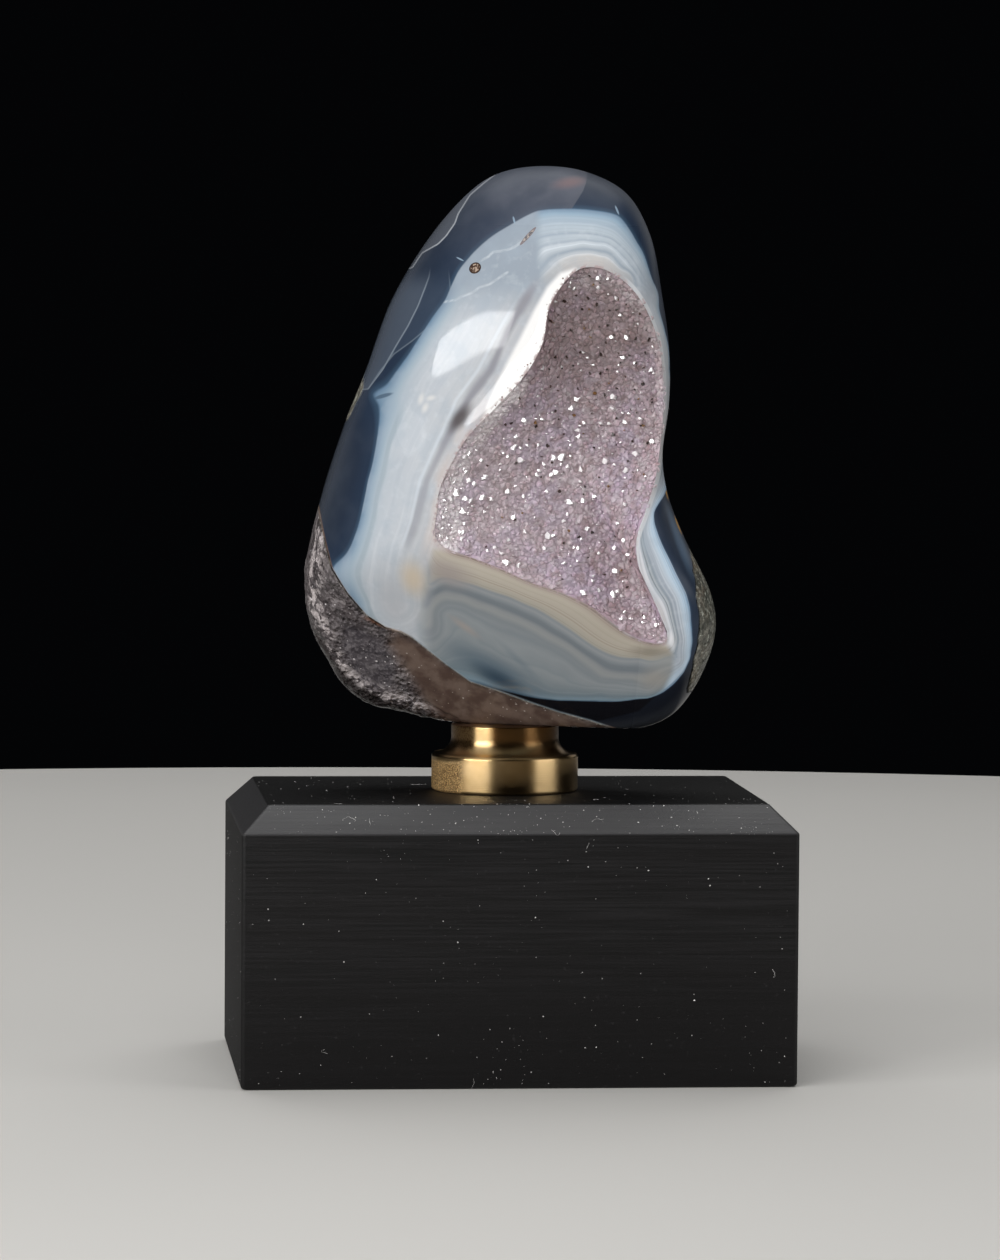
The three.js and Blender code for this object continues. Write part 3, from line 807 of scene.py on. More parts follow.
# How far the painted reflection on the dark skin reaches to the left of its sharp edge
REFLECTION_REACH = 27

# Painted shade darkens the quartz downwards near its outline, between these heights in the model's
# frame
QUARTZ_SHADE_HEIGHTS = (86, 77)

STONE_EDGE_ANGLE = 50
CUTTER_RINGS = 24
CUTTER_STEPS = 360


def band_surface():
    """The agate's bands over the front: 0 at the hollow's rim and 1 at the dark skin."""
    lines = [(0.0, HOLLOW_RIM), *((value, front_places(pixels)) for value, pixels in BAND_LINES)]
    values = np.concatenate([np.full(len(places), value) for value, places in lines])
    return fit_surface(np.concatenate([places for _, places in lines]), values, stiffness=0.3)


def stone_form():
    """Vertices of the stone's skin in its own frame, and their triangles."""
    sphere, triangles = ball(BALL_PARTS)
    directions = unit(unit(sphere - np.array(BALL_SHIFT)) * np.array(BALL_STRETCH))
    places = directions / skin_gauge(*directions.T)[:, None]
    rind = rind_share(places)
    front = places[:, [0, 2]] + np.array([0, STONE_CENTRE[1]])
    smooth = np.maximum(photo_mask(front, SHAPES["brown"], 2.0),
                        SMOKY_SMOOTHNESS * photo_mask(front, SHAPES["smoky"], 1))
    smooth = smooth * (places[:, 1] < 0)
    relief = rind * (1 - KNOBS_SMOOTHED * smooth) * knob_relief(places) + lip_rise(places)
    rough = rind * ROUGH_HEIGHT * (1 - GRAIN_SMOOTHED * smooth)
    for index in np.nonzero(rough > ROUGH_FROM)[0]:
        spot = Vector(places[index])
        nearest, second, *_ = noise.voronoi(spot / GRAIN_SIZE)[0]
        fine = noise.fractal(spot / FINE_GRAIN_SIZE, 0.9, 2.1, 4)
        relief[index] += rough[index] * (0.5 * fine - 0.35 + 0.5 * min(1.0, second - nearest))
    places = places + directions * relief[:, None]
    places[:, 2] = np.maximum(places[:, 2] + STONE_CENTRE[1], 0)
    return places, triangles


def hollow_cutter():
    """Everything in front of the hollow's floor and inside its rim."""
    rings = disc_rings(np.linspace(0.03, 1, CUTTER_RINGS), CUTTER_STEPS)
    points = [at_depth(ring, crust_level(ring) + CRUST_THICKNESS + CRUST_GAP) for ring in rings]
    points.append(at_depth(rings[-1], FAR_IN_FRONT))
    return new_mesh("hollow_cutter", to_frame(np.concatenate(points)),
                    stacked_faces(len(points), CUTTER_STEPS))


def cut_hollow(piece):
    cutter = add_to_scene("hollow_cutter", hollow_cutter())
    cut = piece.modifiers.new("hollow", "BOOLEAN")
    cut.operation = "DIFFERENCE"
    cut.solver = "MANIFOLD"
    cut.object = cutter
    bpy.context.view_layer.update()
    graph = bpy.context.evaluated_depsgraph_get()
    whole, mesh = piece.data, cutter.data
    piece.data = bpy.data.meshes.new_from_object(piece.evaluated_get(graph))
    piece.modifiers.clear()
    bpy.data.objects.remove(cutter)
    bpy.data.meshes.remove(mesh)
    bpy.data.meshes.remove(whole)


def stone_values(places):
    """Values of the agate's pattern at places in the stone's frame. Shapes are given as
    distances inside them, so that the material can draw their edges finely."""
    front = places[:, [0, 2]]
    from_sheet = places[:, 1] + LEAN * places[:, 0]

    def inside(*shapes):
        depths = [inside_by(front, shape) for shape in shapes]
        return np.clip(np.max(depths, axis=0), -FARTHEST, FARTHEST)

    behind = np.clip(from_sheet - RIND_BEHIND, -FARTHEST, FARTHEST)
    return {
        "band": np.clip(band_surface()(front), *BAND_LIMITS),
        "verge": smoothstep(from_sheet, *VERGE_DEPTHS),
        "rind": np.logaddexp(behind, inside(*RIND_SHAPES)),
        "limb": stone_outline.room(front),
        "rim": -hollow_rim.room(front),
        "wisp": np.min([np.abs(line_offset(front, line)) for line in WISPS], axis=0),
        **{name: inside(shape) for name, shape in SHAPES.items()},
        **{name: line_offset(front, line) for name, line in LINES.items()},
    }


def upper_body(g, band):
    """The light banded agate above and beside the hollow."""
    rightness = g.past("X", RIGHT_SIDE, 0, 4)
    lane = g.mix(rightness, g.math("DIVIDE", g.attribute("thread"), 1.1), g.times(band, 16))
    drift = g.node("CombineXYZ", {0: lane, 1: g.math("DIVIDE", g.part("Z"), 26)}).outputs[0]
    streaks = g.noise(1, 3, where=drift)
    broad = g.noise(1, 2, where=g.vector("MULTIPLY", drift, (0.28,) * 3))
    inward = g.fade(band, 0.9, 0.75)
    thin_line = g.fade(g.size(g.math("SUBTRACT", band, 0.85)), 0.035, 0.01, 0.6)
    lobe = g.tinted(g.ramp(band, LOBE_BANDS), [
        (g.fade(streaks, 0.5, 0.68, 0.45), (206, 212, 220)),
        (g.fade(streaks, 0.5, 0.32, 0.45), (134, 146, 160)),
    ])
    level = g.mix(g.fade(g.line_noise(band, 0.03), 0.45, 0.7, 0.3),
                  g.ramp(band, LEVEL_BANDS), (150, 161, 172))
    wisps = g.times(g.within("wisp", 0.34, 0.05, 0.45), g.patches(1.5, 2, 0.3, 0.6, 1.0, 0.25))
    return g.tinted(g.ramp(band, UPPER_BANDS), [
        (g.times(g.fade(streaks, 0.5, 0.72, 0.28), inward), (214, 216, 219)),
        (g.times(g.fade(streaks, 0.5, 0.3, 0.28), inward), (164, 172, 181)),
        (g.fade(broad, 0.5, 0.32, 0.3), (168, 176, 186)),
        (g.times(thin_line, g.past("Z", THIN_LINE_TOP, 0, -4)), (150, 163, 172)),
        (g.times(rightness, g.past("Z", LOBE_TOP, 0, -5)), lobe),
        # Painted shade: the upper body turns darker grey-blue towards the top
        (g.past("Z", TOP_STARTS, -5, 5, 0.95), (146, 156, 167)),
        (g.times(g.past("Z", TOP_STARTS, 0, 9), g.past("X", TOP_SEAM, -1.2, 0.8)), level),
        (g.patches(4.5, 4, 0.45, 0.68, 0.3), (160, 172, 184)),
        (g.times(g.patches(1.6, 4, 0.5, 0.7, 0.15), inward), (208, 213, 218)),
        (wisps, (214, 219, 223)),
    ])


def lower_body(g, band):
    """The banded agate of the lower face: its own tan and grey bands, darkened in part as painted
    shade, as it faces down.
    """
    tan_lines = g.fade(g.line_noise(band, 0.03), 0.5, 0.7, 0.35)
    whorls = g.line_noise(g.math("ADD", band, g.times(g.noise(11, 2), 0.25)), 0.1)
    beyond = g.fade(band, 0.5, 0.6)
    return g.tinted(g.ramp(band, UNDER_BANDS), [
        (g.times(tan_lines, g.fade(band, 0.32, 0.28)), (128, 120, 106)),
        (g.times(g.fade(whorls, 0.48, 0.75, 0.25), beyond), (160, 164, 166)),
        (g.times(g.fade(whorls, 0.52, 0.25, 0.3), beyond), (106, 120, 130)),
        *g.marks(UNDER_MARKS),
    ])


def agate_skin(g, band):
    """The dark outer agate, with painted reflections on it and painted shade on its lower part."""
    low = g.math("MAXIMUM", g.within("under", -1.0, 0.5), g.past("Z", DARK_FOOT, 5, -3, 0.8))
    reflected = g.times(g.within("reflection_edge", 0.12, -0.12), g.within("reflection_edge", -REFLECTION_REACH, -5.0))
    skin = g.tinted(g.ramp(g.math("SUBTRACT", band, 1.0), SKIN_BANDS), [
        (g.patches(6, 3, 0.4, 0.75, 0.25), (66, 74, 86)),
        # Painted shade: the skin goes near black on the lower face and at the bottom
        (low, (18, 18, 22)),
        # Painted reflection of the overhead softbox, to the left of its sharp edge
        (g.times(reflected, g.patches(7, 3, 0.3, 0.7, 0.95, 0.45)), (84, 88, 99)),
    ])
    in_front = g.within("verge", 0.3, 1.0, 0.0, 1.0)
    below = g.times(in_front, g.past("Z", REFLECTIONS_TOP, 0, -5))
    # Painted reflections of facets: pale sheets with lighter crisp edges on the dark skin
    for name, share, strength, colour, edge_strength, edge_colour in [
        ("reflection_sheet", below, 0.6, (84, 93, 106), 0.5, (140, 150, 160)),
        ("reflection_fold", below, 0.35, (70, 82, 98), 0.4, (128, 140, 152)),
        ("reflection_sliver", in_front, 0.6, (92, 96, 104), 0.75, (176, 180, 186)),
    ]:
        edge = g.fade(g.size(g.attribute(name)), 0.2, 0.03, edge_strength)
        skin = g.tinted(skin, [
            (g.times(g.within(name, -0.08, 0.08, strength), share), colour),
            (g.times(edge, share), edge_colour),
        ])
    worn_edge = g.times(g.within("limb", 0.55, 0.2, 0.75), g.attribute("verge"),
                        g.patches(1.3, 4, 0.45, 0.6))
    return g.tinted(skin, [
        # Painted reflection, lighter on the dark skin near the outline
        (g.within("limb", 3.2, 0.8, 0.3), (84, 88, 96)),
        *g.marks(SKIN_MARKS),
        (g.times(g.mark(*EMBER_MARK), reflected), (128, 98, 96)),
        (worn_edge, (134, 124, 106)),
    ])


def agate_marks(g, body):
    """Streaks, spots and stains over the agate's bands."""
    along = g.times(g.past("Z", STREAK_TOP, 0, -5), g.past("Z", STREAK_BOTTOM, 0, 5))
    width = g.patches(8, 2, 0.3, 0.7, 1.6, 0.9)
    away = g.math("DIVIDE", g.size(g.attribute("streak")), width)
    darkness = g.past("Z", STREAK_MIDDLE, -8, 0, 0.95, 0.65)
    thread = g.fade(g.size(g.attribute("thread")), 0.5, 0.05, 0.42)
    white = g.within("white", -0.5, 0.6)
    rim = g.attribute("rim")
    pits = g.times(g.fade(g.cells(0.9), 0.26, 0.16), g.patches(1.7, 2, 0.4, 0.5), white,
                   g.fade(rim, 2.6, 0.8))
    pale = g.times(g.fade(rim, 0.95, 0.7, 0.7), g.past("X", RIGHT_SIDE, 4, 6),
                   g.past("Z", RIM_FOOT, 0, 2))
    body = g.tinted(body, [
        (g.times(g.fade(away, 1.1, 0.1), darkness, along), (142, 142, 149)),
        (g.times(thread, along, g.past("Z", STREAK_TOP, -4, -10)), (208, 215, 222)),
        (g.mark(*SMOKE_MARK), (84, 78, 79)),
        # Painted highlight over a real white layer: the white band is painted near white
        (white, (236, 235, 234)),
        (pits, (118, 98, 94)),
        (g.times(g.patches(0.8, 4, 0.48, 0.56), g.fade(rim, 0.9, 0.0)), (168, 150, 150)),
        (pale, (206, 208, 211)),
        *g.marks(BODY_MARKS),
    ])
    grain = g.mix(g.patches(0.45, 3, 0.42, 0.6), (70, 52, 44), (178, 158, 142))
    for oval, strength, border in GRAINY_SPOTS:
        away = g.oval(*oval)
        inner = g.mix(g.fade(away, 0.62, 0.85), grain, border)
        body = g.mix(g.fade(away, 1.04, 0.94, strength), body, inner)
    return body


def agate_rough(g):
    """The colour of the natural faces: quartz at the lower left and rind on the back."""
    near_limb = g.times(g.within("limb", 5.0, 2.5, 1.0, 0.08), g.within("limb", 0.4, 1.2))
    broken = g.math("ADD", g.times(g.cell_tone(2.4), 0.35), g.noise(1.1, 5))
    flakes = g.math("ADD", g.cells(1.1), g.times(g.noise(0.9, 2), 0.7))
    shaded_low_limb = g.times(g.within("limb", 2.6, 1.4), g.fade(g.part("Z"), *QUARTZ_SHADE_HEIGHTS), 0.85)
    brown = g.tinted(g.mix(g.patches(3, 4, 0.35, 0.65), (82, 66, 59), (108, 92, 83)), [
        (g.fade(flakes, 0.45, 0.38, 0.5), (190, 180, 172)),
        # Painted shade along the brown quartz's lower edge
        (g.past("Z", BROWN_FOOT, 3, -1.5, 0.85), (36, 28, 26)),
    ])
    quartz = g.tinted(g.ramp(g.cell_tone(1.5), QUARTZ_TONES), [
        (g.patches(3.5, 4, 0.42, 0.62, 0.55), (54, 49, 50)),
        (g.times(g.fade(broken, 0.66, 0.78, 0.85), near_limb), (202, 192, 191)),
        (g.within("smoky", -1.0, 1.2, 0.6), (66, 63, 68)),
        (g.fade(flakes, 0.47, 0.4, 0.85), (226, 220, 220)),
        (g.patches(0.6, 3, 0.45, 0.7, 0.35), (150, 143, 146)),
        # Painted shade near the outline at the bottom
        (shaded_low_limb, (30, 24, 23)),
        (g.within("brown", -1.5, 2.0), brown),
    ])
    hollows = g.noise(2.6, 4, stretch=(0.7, 0.7, 1.8))
    rind = g.tinted(g.mix(g.patches(8, 5, 0.4, 0.6), (92, 93, 84), (140, 137, 127)), [
        (g.patches(15, 3, 0.5, 0.62, 0.45), (128, 108, 84)),
        (g.fade(hollows, 0.5, 0.6, 0.65), (52, 57, 52)),
        (g.patches(3, 5, 0.5, 0.68, 0.5), (112, 96, 80)),
        (g.patches(1.0, 5, 0.42, 0.6, 0.0, 0.55), (64, 64, 58)),
        (g.patches(0.7, 3, 0.54, 0.7, 0.75), (186, 188, 176)),
        (g.fade(g.cells(1.9), 0.24, 0.12, 0.8), (46, 42, 37)),
    ])
    return g.mix(g.within("quartz", -0.35, 0.35), rind, quartz)


def agate_material():
    g = Graph("agate")
    edge = g.math("ADD", g.attribute("band"), g.times(g.sway(3, 2), 0.005))
    band = g.math("ADD", edge, g.times(g.sway(14, 1), 0.018))
    under = g.times(g.within("under", -0.7, 0.7), g.past("X", UNDER_LEFT, 0, 4.5))
    seam = g.fade(g.size(g.attribute("quartz")), 0.5, 0.1, 0.6)
    seam_colour = g.mix(g.within("under", -2.0, -0.2), (138, 104, 76), (118, 130, 138))
    quartz = g.within("quartz", -0.3, 0.1)
    uneven = g.times(g.sway(7, 6), g.within("verge", 0.0, 1.0, 13.0, 2.0))
    ragged = g.math("ADD", g.attribute("rind"), uneven)
    natural = g.math("MAXIMUM", quartz, g.fade(ragged, -0.1, 0.3))
    # The lower face takes the darker colours of lower_body, which hold painted shade
    body = agate_marks(g, g.mix(under, upper_body(g, band), lower_body(g, band)))
    colour = g.tinted(body, [
        (g.fade(edge, 0.988, 1.008), agate_skin(g, edge)),
        *g.marks(SPIKE_MARKS),
        (seam, seam_colour),
        (natural, agate_rough(g)),
        (g.times(g.mark(*RUST_MARK), quartz), (112, 66, 36)),
    ])
    unsmooth = g.times(natural, g.within("brown", -1.5, 2.0, 0.05, 1.0),
                       g.within("smoky", -0.8, 1.2, 0.25, 1.0))
    chips = g.math("ADD", g.times(g.cells(2.3), 1.6), g.cells(0.9))
    facets = g.bump(g.times(chips, unsmooth), 0.55)
    softer = g.math("ADD", g.past("Z", PATCH_TOP, 0, 6, 0.2, 0.06),
                    g.past("Z", PATCH_TOP, 7, 15, 0.2))
    dull = g.math("MAXIMUM", unsmooth, g.past("X", RIGHT_SIDE, 6, 9))
    gloss = g.math("MAXIMUM", softer, g.mark(*WORN_MARK), g.fade(dull, 0.0, 1.0, 0.32, 0.06))
    return g.surface(Base_Color=colour, Roughness=gloss, IOR=1.54, Specular_IOR_Level=0.16,
                     Normal=g.bump(g.times(g.noise(0.5, 4), unsmooth), 0.25, facets))


def add_stone():
    places, triangles = stone_form()
    stone = add_piece("agate_body", to_frame(places), triangles.tolist(), agate_material(),
                      stands_for=["agate_stone"])
    cut_hollow(stone)
    corners = np.empty(len(stone.data.vertices) * 3, np.float32)
    stone.data.vertices.foreach_get("co", corners)
    in_stone = (corners.reshape(-1, 3).astype(float) - SEAT) @ STONE_TURN / MM
    set_values(stone.data, stone_values(in_stone))
    smooth_below(stone.data, STONE_EDGE_ANGLE)


# The crust of crystals

CRYSTAL_SEED = 20
CRYSTAL_SPACING = 0.8
CRYSTAL_ROOM = 0.1
CRYSTAL_RADII = (0.42, 1.0)
CRYSTAL_RISES = (0.12, 0.4)
CRYSTAL_LEAN = 0.16
GLINT_SPACING = 1.15
GLINT_ROOM = 0.9
GLINT_RADII = (0.12, 0.72)
GLINT_RISES = (0.95, 1.2)
GLINT_LEAN = 0.03
SPECK_SPACING = 2.7
SPECK_ROOM = 1
SPECK_RADII = (0.14, 0.36)
SPECK_RISE = 0.95
SPECK_LEAN = 0.5
ROOT_DEPTH = 0.35
SHAKE = 0.4

# Points of a crystal: six at its foot, six at its shoulder, and its tip
CRYSTAL_POINTS = 13

# Shares of its radius that its corners take and its tip lies off its middle, and of its
# height that its shoulder and its foot are lifted
POINTED_SPREAD = (0.75, 1.25)
FLAT_SPREAD = (0.2, 1.25)
TIP_SHIFT = 0.4
SHOULDERS = (0.02, 0.2)
FOOT_LIFT = 0.8

# Crystals this near the rim stay low
LOW_ROOM = 1.2

# The druse takes a brown tint with painted shade at the top of the hollow, where its rim
# shades it, and painted light low down and to the left, in the stone's frame; a share of the
# glints is kept, more of them low down
SHADE_AND_BROWN_HEIGHTS = (48, 74)
PAINTED_LIGHT = 0.15
GLINT_SHARE = 0.09
LOW_GLINT_SHARE = 0.1
FROSTY_GLINT_SHARE = 0.75

# A small grey lump near the hollow's top: its middle in photograph pixels, and its size
LUMP_PIXEL = (590, 340)
LUMP_RADIUS = 3.2
LUMP_RISE = 0.9

# The crust swells to the polished face just inside the rim
RIM_SWELL = 0.4
RIM_SWELL_WIDTH = 1.6

# The sheet below the crystals reaches this share of the way to the rim
SHEET_REACH = 1.003
SHEET_RINGS = 40
SHEET_STEPS = 300

# The main softbox, seen from the stone: turned from the camera's side to the right,
# lifted, and its distance
KEY_SEAT = (-46.5, 17.1, 0.9)
STONE_MIDDLE = Vector((0, 0, 0.115))


def from_stone(azimuth, elevation, distance):
    """A place seen from the stone, turned from the camera's side to the right."""
    back = CAMERA_TURN @ Vector((0, -1, 0))
    back.z = 0
    back.normalize()
    right = Vector((-back.y, back.x, 0))
    turn, lift = math.radians(azimuth), math.radians(elevation)
    flat = back * math.cos(turn) + right * math.sin(turn)
    return STONE_MIDDLE + (flat * math.cos(lift) + Vector((0, 0, math.sin(lift)))) * distance


def crystal_floor(spots):
    """Depth of the crystals' feet, with the lump near the hollow's top."""
    middle = front_places([LUMP_PIXEL])[0]
    share = np.clip(1 - ((spots - middle) ** 2).sum(1) / LUMP_RADIUS ** 2, 0, 1)
    swell = RIM_SWELL * smoothstep(-hollow_rim.room(spots), -RIM_SWELL_WIDTH, 0)
    return crust_level(spots) - LUMP_RISE * share - swell


def shaken_spots(spacing, room, random):
    """Shaken honeycomb places in the hollow, that far inside its rim."""
    rim = np.array(HOLLOW_RIM)
    low, high = rim.min(0) - 2, rim.max(0) + 2
    spots = []
    for index, row in enumerate(np.arange(low[1], high[1], spacing * math.sqrt(0.75))):
        columns = np.arange(low[0] + spacing / 2 * (index % 2), high[0], spacing)
        spots.append(np.stack([columns, np.full(len(columns), row)], axis=1))
    spots = np.concatenate(spots)
    spots += random.uniform(-SHAKE, SHAKE, spots.shape) * spacing
    return spots[hollow_rim.room(spots) > room]


def shaken_normals(spots, shake, random):
    """Directions straight out of the hollow's floor, shaken."""
    step = 0.4
    level = crystal_floor(spots)
    slopes = np.stack([crystal_floor(spots + way) - level for way in step * np.eye(2)], axis=1)
    normals = unit(at_depth(slopes / step, -1.0))
    return unit(normals + random.normal(0, shake, normals.shape))


def glint_axes(spots):
    """Directions in which a facet mirrors the main softbox to the front."""
    places = to_frame(at_depth(spots, crystal_floor(spots)))
    to_camera = unit(CAMERA_PLACE_MM * MM - places)
    to_light = unit(np.array(from_stone(*KEY_SEAT)) - places)
    return unit(to_camera + to_light) @ STONE_TURN


def crystals_at(spots, axes, radii, rises, random, pointed=True):
    """Six-sided crystals on the hollow's floor, pointed or cut off flat."""
    count = len(spots)
    first = unit(np.cross(axes, random.normal(0, 1, (count, 3))))
    second = np.cross(axes, first)
    foot = at_depth(spots, crystal_floor(spots) + ROOT_DEPTH)
    turns = np.arange(6)[None, :, None] * math.pi / 3
    spread = np.cos(turns) * first[:, None] + np.sin(turns) * second[:, None]
    spread = spread * radii[:, None, None]
    limits = POINTED_SPREAD if pointed else FLAT_SPREAD
    spread = spread * random.uniform(*limits, (count, 6, 1))
    low_ring = foot[:, None] + spread + axes[:, None] * ROOT_DEPTH * FOOT_LIFT * pointed
    shoulder = random.uniform(*SHOULDERS, (count, 1, 1)) if pointed else np.ones((count, 1, 1))
    high_ring = low_ring + axes[:, None] * shoulder * rises[:, None, None]
    tips = foot + axes * rises[:, None] + first * (radii * TIP_SHIFT * pointed)[:, None]
    points = np.concatenate([low_ring, high_ring, tips[:, None]], axis=1)
    faces = []
    for start in range(0, count * CRYSTAL_POINTS, CRYSTAL_POINTS):
        for side, after in zip(range(6), (1, 2, 3, 4, 5, 0)):
            faces.append((start + side, start + after, start + 6 + after, start + 6 + side))
            faces.append((start + 6 + side, start + 6 + after, start + 12))
        faces.append(tuple(range(start + 5, start - 1, -1)))
    return points.reshape(-1, 3), faces


def crust_base():
    """The sheet that the crystals stand on."""
    rings = disc_rings(SHEET_REACH * np.linspace(0.02, 1, SHEET_RINGS) ** 0.7, SHEET_STEPS)
    front = [at_depth(ring, crystal_floor(ring)) for ring in rings]
    back = [at_depth(ring, crust_level(ring) + CRUST_THICKNESS) for ring in rings[::-1]]
    faces = [face[::-1] for face in stacked_faces(2 * len(rings), SHEET_STEPS)]
    return np.concatenate(front + back), faces


def crystal_material():
    g = Graph("amethyst")
    glint, speck = g.attribute("glint"), g.attribute("speck")
    frost = g.times(g.attribute("frost"), g.patches(0.55, 3, 0.4, 0.56, 1.0, 0.45))
    colour = g.tinted(g.ramp(g.attribute("tint"), AMETHYST_TONES), [
        (g.patches(8, 2, 0.42, 0.62, 0.6), (186, 166, 190)),
        (g.patches(2.2, 4, 0.46, 0.66, 0.65), (152, 128, 128)),
        (g.patches(1.4, 4, 0.56, 0.75, 0.6), (230, 216, 221)),
        # Painted light, paler low down and to the left
        (g.attribute("painted_light"), (240, 224, 230)),
        # A brown tint with painted shade at the top of the hollow
        (g.times(g.attribute("shade_and_brown"), 0.85), (120, 101, 100)),
        (frost, (255, 242, 245)),
        # Glint facets are also painted near white, a painted glint where they miss the softbox
        (glint, (240, 234, 236)),
        (g.fade(speck, 0.1, 0.3), g.ramp(speck, SPECK_TONES)),
    ])
    return g.surface(Base_Color=colour, Roughness=g.fade(glint, 0.4, 0.6, 0.07, 0.36), IOR=1.55,
                     Subsurface_Weight=0.6, Subsurface_Scale=1.2 * MM,
                     Subsurface_Radius=(1, 0.9, 0.95))


def frost_at(places):
    return sum(weight * photo_mask(places, patch, 0.9) for weight, patch in FROST_PATCHES)


def add_crust():
    random = np.random.default_rng(CRYSTAL_SEED)

    def between(limits, share):
        return limits[0] + (limits[1] - limits[0]) * share

    def shades(places):
        """How much brown tint with painted shade, frost and painted light the druse gets at
        places.
        """
        shade_and_brown = smoothstep(places[:, 1], *SHADE_AND_BROWN_HEIGHTS)
        shade_and_brown *= 0.6 + 0.4 * random.random(len(places))
        painted_light = PAINTED_LIGHT * smoothstep(-places[:, 0], -20, 8) * smoothstep(-places[:, 1], -75, -45)
        return shade_and_brown, frost_at(places), painted_light

    base = crust_base()
    spots = shaken_spots(CRYSTAL_SPACING, CRYSTAL_ROOM, random)
    axes = shaken_normals(spots, CRYSTAL_LEAN, random)
    rises = ROOT_DEPTH + between(CRYSTAL_RISES, random.random(len(spots)) ** 1.6)
    low_rises = ROOT_DEPTH + 0.2 + 0.2 * random.random(len(spots))
    rises = np.where(hollow_rim.room(spots) < LOW_ROOM, low_rises, rises)
    crystals = crystals_at(spots, axes, random.uniform(*CRYSTAL_RADII, len(spots)), rises, random)

    glints = shaken_spots(GLINT_SPACING, GLINT_ROOM, random)
    sparkle = frost_at(glints)
    kept = GLINT_SHARE + LOW_GLINT_SHARE * smoothstep(-glints[:, 1], -72, -50)
    kept += FROSTY_GLINT_SHARE * sparkle
    chosen = random.random(len(glints)) < kept
    glints, sparkle = glints[chosen], sparkle[chosen]
    axes = unit(glint_axes(glints) + random.normal(0, GLINT_LEAN, (len(glints), 3)))
    sizes = between(GLINT_RADII, random.random(len(glints)) ** (1.8 + 2 * sparkle))
    rises = random.uniform(*GLINT_RISES, len(glints))
    mirrors = crystals_at(glints, axes, sizes, rises, random, pointed=False)

    specks = shaken_spots(SPECK_SPACING, SPECK_ROOM, random)
    likely = np.clip((specks[:, 1] - 25) / 50 + (specks[:, 0] - 5) / 60, 0.12, 1)
    specks = specks[random.random(len(specks)) < likely]
    sizes = random.uniform(*SPECK_RADII, len(specks))
    axes = shaken_normals(specks, SPECK_LEAN, random)
    rises = np.full(len(specks), SPECK_RISE)
    dots = crystals_at(specks, axes, sizes, rises, random, pointed=False)

    shade_and_brown, frost, painted_light = shades(spots)
    frost = frost * random.random(len(spots)) ** 0.4
    base_shade_and_brown, base_frost, base_painted_light = shades(base[0][:, [0, 2]])
    browner = np.where(random.random(len(specks)) < 0.15, 0.4, 1.0)
    tint = random.random(len(spots))
    names = ("tint", "glint", "shade_and_brown", "frost", "painted_light", "speck")
    parts = [
        (base, (0.4, 0, base_shade_and_brown, 0.8 * base_frost, base_painted_light, 0)),
        (crystals, (tint, 0, shade_and_brown, frost, painted_light, 0)),
        (mirrors, (1, 1, 0, 0, 0, 0)),
        (dots, (0, 0, 1, 0, 0, browner)),
    ]
    faces, places, values = [], [], []
    count = 0
    for (points, part_faces), looks in parts:
        faces.extend(tuple(corner + count for corner in face) for face in part_faces)
        places.append(points)
        values.append([np.repeat(look, len(points) // np.size(look)) for look in looks])
        count += len(points)
    crust = add_piece("amethyst_points", to_frame(np.concatenate(places)), faces,
                      crystal_material(), stands_for=["amethyst_crust"])
    set_values(crust.data, dict(zip(names, map(np.concatenate, zip(*values)))))


# The brass collar

FOOT_RADIUS = 13.5
FOOT_HEIGHT = 6.9
NECK_RADIUS = 9.9
COLLAR_HEIGHT = 12.2
FILLET_RADIUS = 3
COLLAR_EDGE = 0.4
COLLAR_BORE = 0.4
COLLAR_STEPS = 192
COLLAR_EDGE_ANGLE = 40

# Places across where these start and are full: the weathered part of the foot's left side,
# the brown stain on the neck's left side, the painted shade and dark reflection in the
# middle, and the bright right side of the foot, where that painted shade ends
PITTED_ACROSS = (-8.2, -9.6)
NECK_STAIN_ACROSS = (-5.6, -7.0)
SHADE_ACROSS = (-4.4, -2.6)
BRIGHT_ACROSS = (3.6, 5.2)


def brass_material():
    g = Graph("aged_brass")
    foot_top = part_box("brass_collar")[0].z / MM + FOOT_HEIGHT

    def region(across, start, end, *given):
        return g.times(g.fade(g.part("X"), *across),
                       g.fade(g.part("Z"), foot_top + start, foot_top + end, *given))

    weathered = region(PITTED_ACROSS, -0.6, -1.8)
    pits = g.times(g.patches(0.24, 3, 0.42, 0.56), weathered)
    stain = g.times(region(NECK_STAIN_ACROSS, 0.2, 1.6), g.patches(0.3, 3, 0.35, 0.6, 0.6, 0.9))
    colour = g.tinted(g.mix(g.patches(4, 4, 0.35, 0.7), (240, 205, 150), (228, 190, 132)), [
        # Painted shade and dark reflection over the middle, strongest on the neck
        (region(SHADE_ACROSS, 0.3, 3, 0.92, 0.45), (98, 64, 30)),
        (stain, (104, 68, 32)),
        (region(BRIGHT_ACROSS, 0, -0.5), (240, 205, 150)),
        (g.times(weathered, 0.8),
         g.mix(g.patches(0.22, 2, 0.42, 0.58), (120, 82, 42), (246, 204, 138))),
        (g.times(pits, 0.45), (84, 56, 26)),
    ])
    turned = g.bump(g.noise(0.1, 3, stretch=(90, 90, 1)), 0.02)
    around = g.node("Tangent", {}, direction_type="RADIAL", axis="Z").outputs[0]
    return g.surface(Base_Color=colour, Metallic=g.fade(weathered, 0.0, 1.0, 0.4, 1.0),
                     Roughness=g.fade(weathered, 0.0, 1.0, 0.5, 0.29), Anisotropic=0.88,
                     Anisotropic_Rotation=0.25, Tangent=around, Normal=g.bump(pits, 0.06, turned))


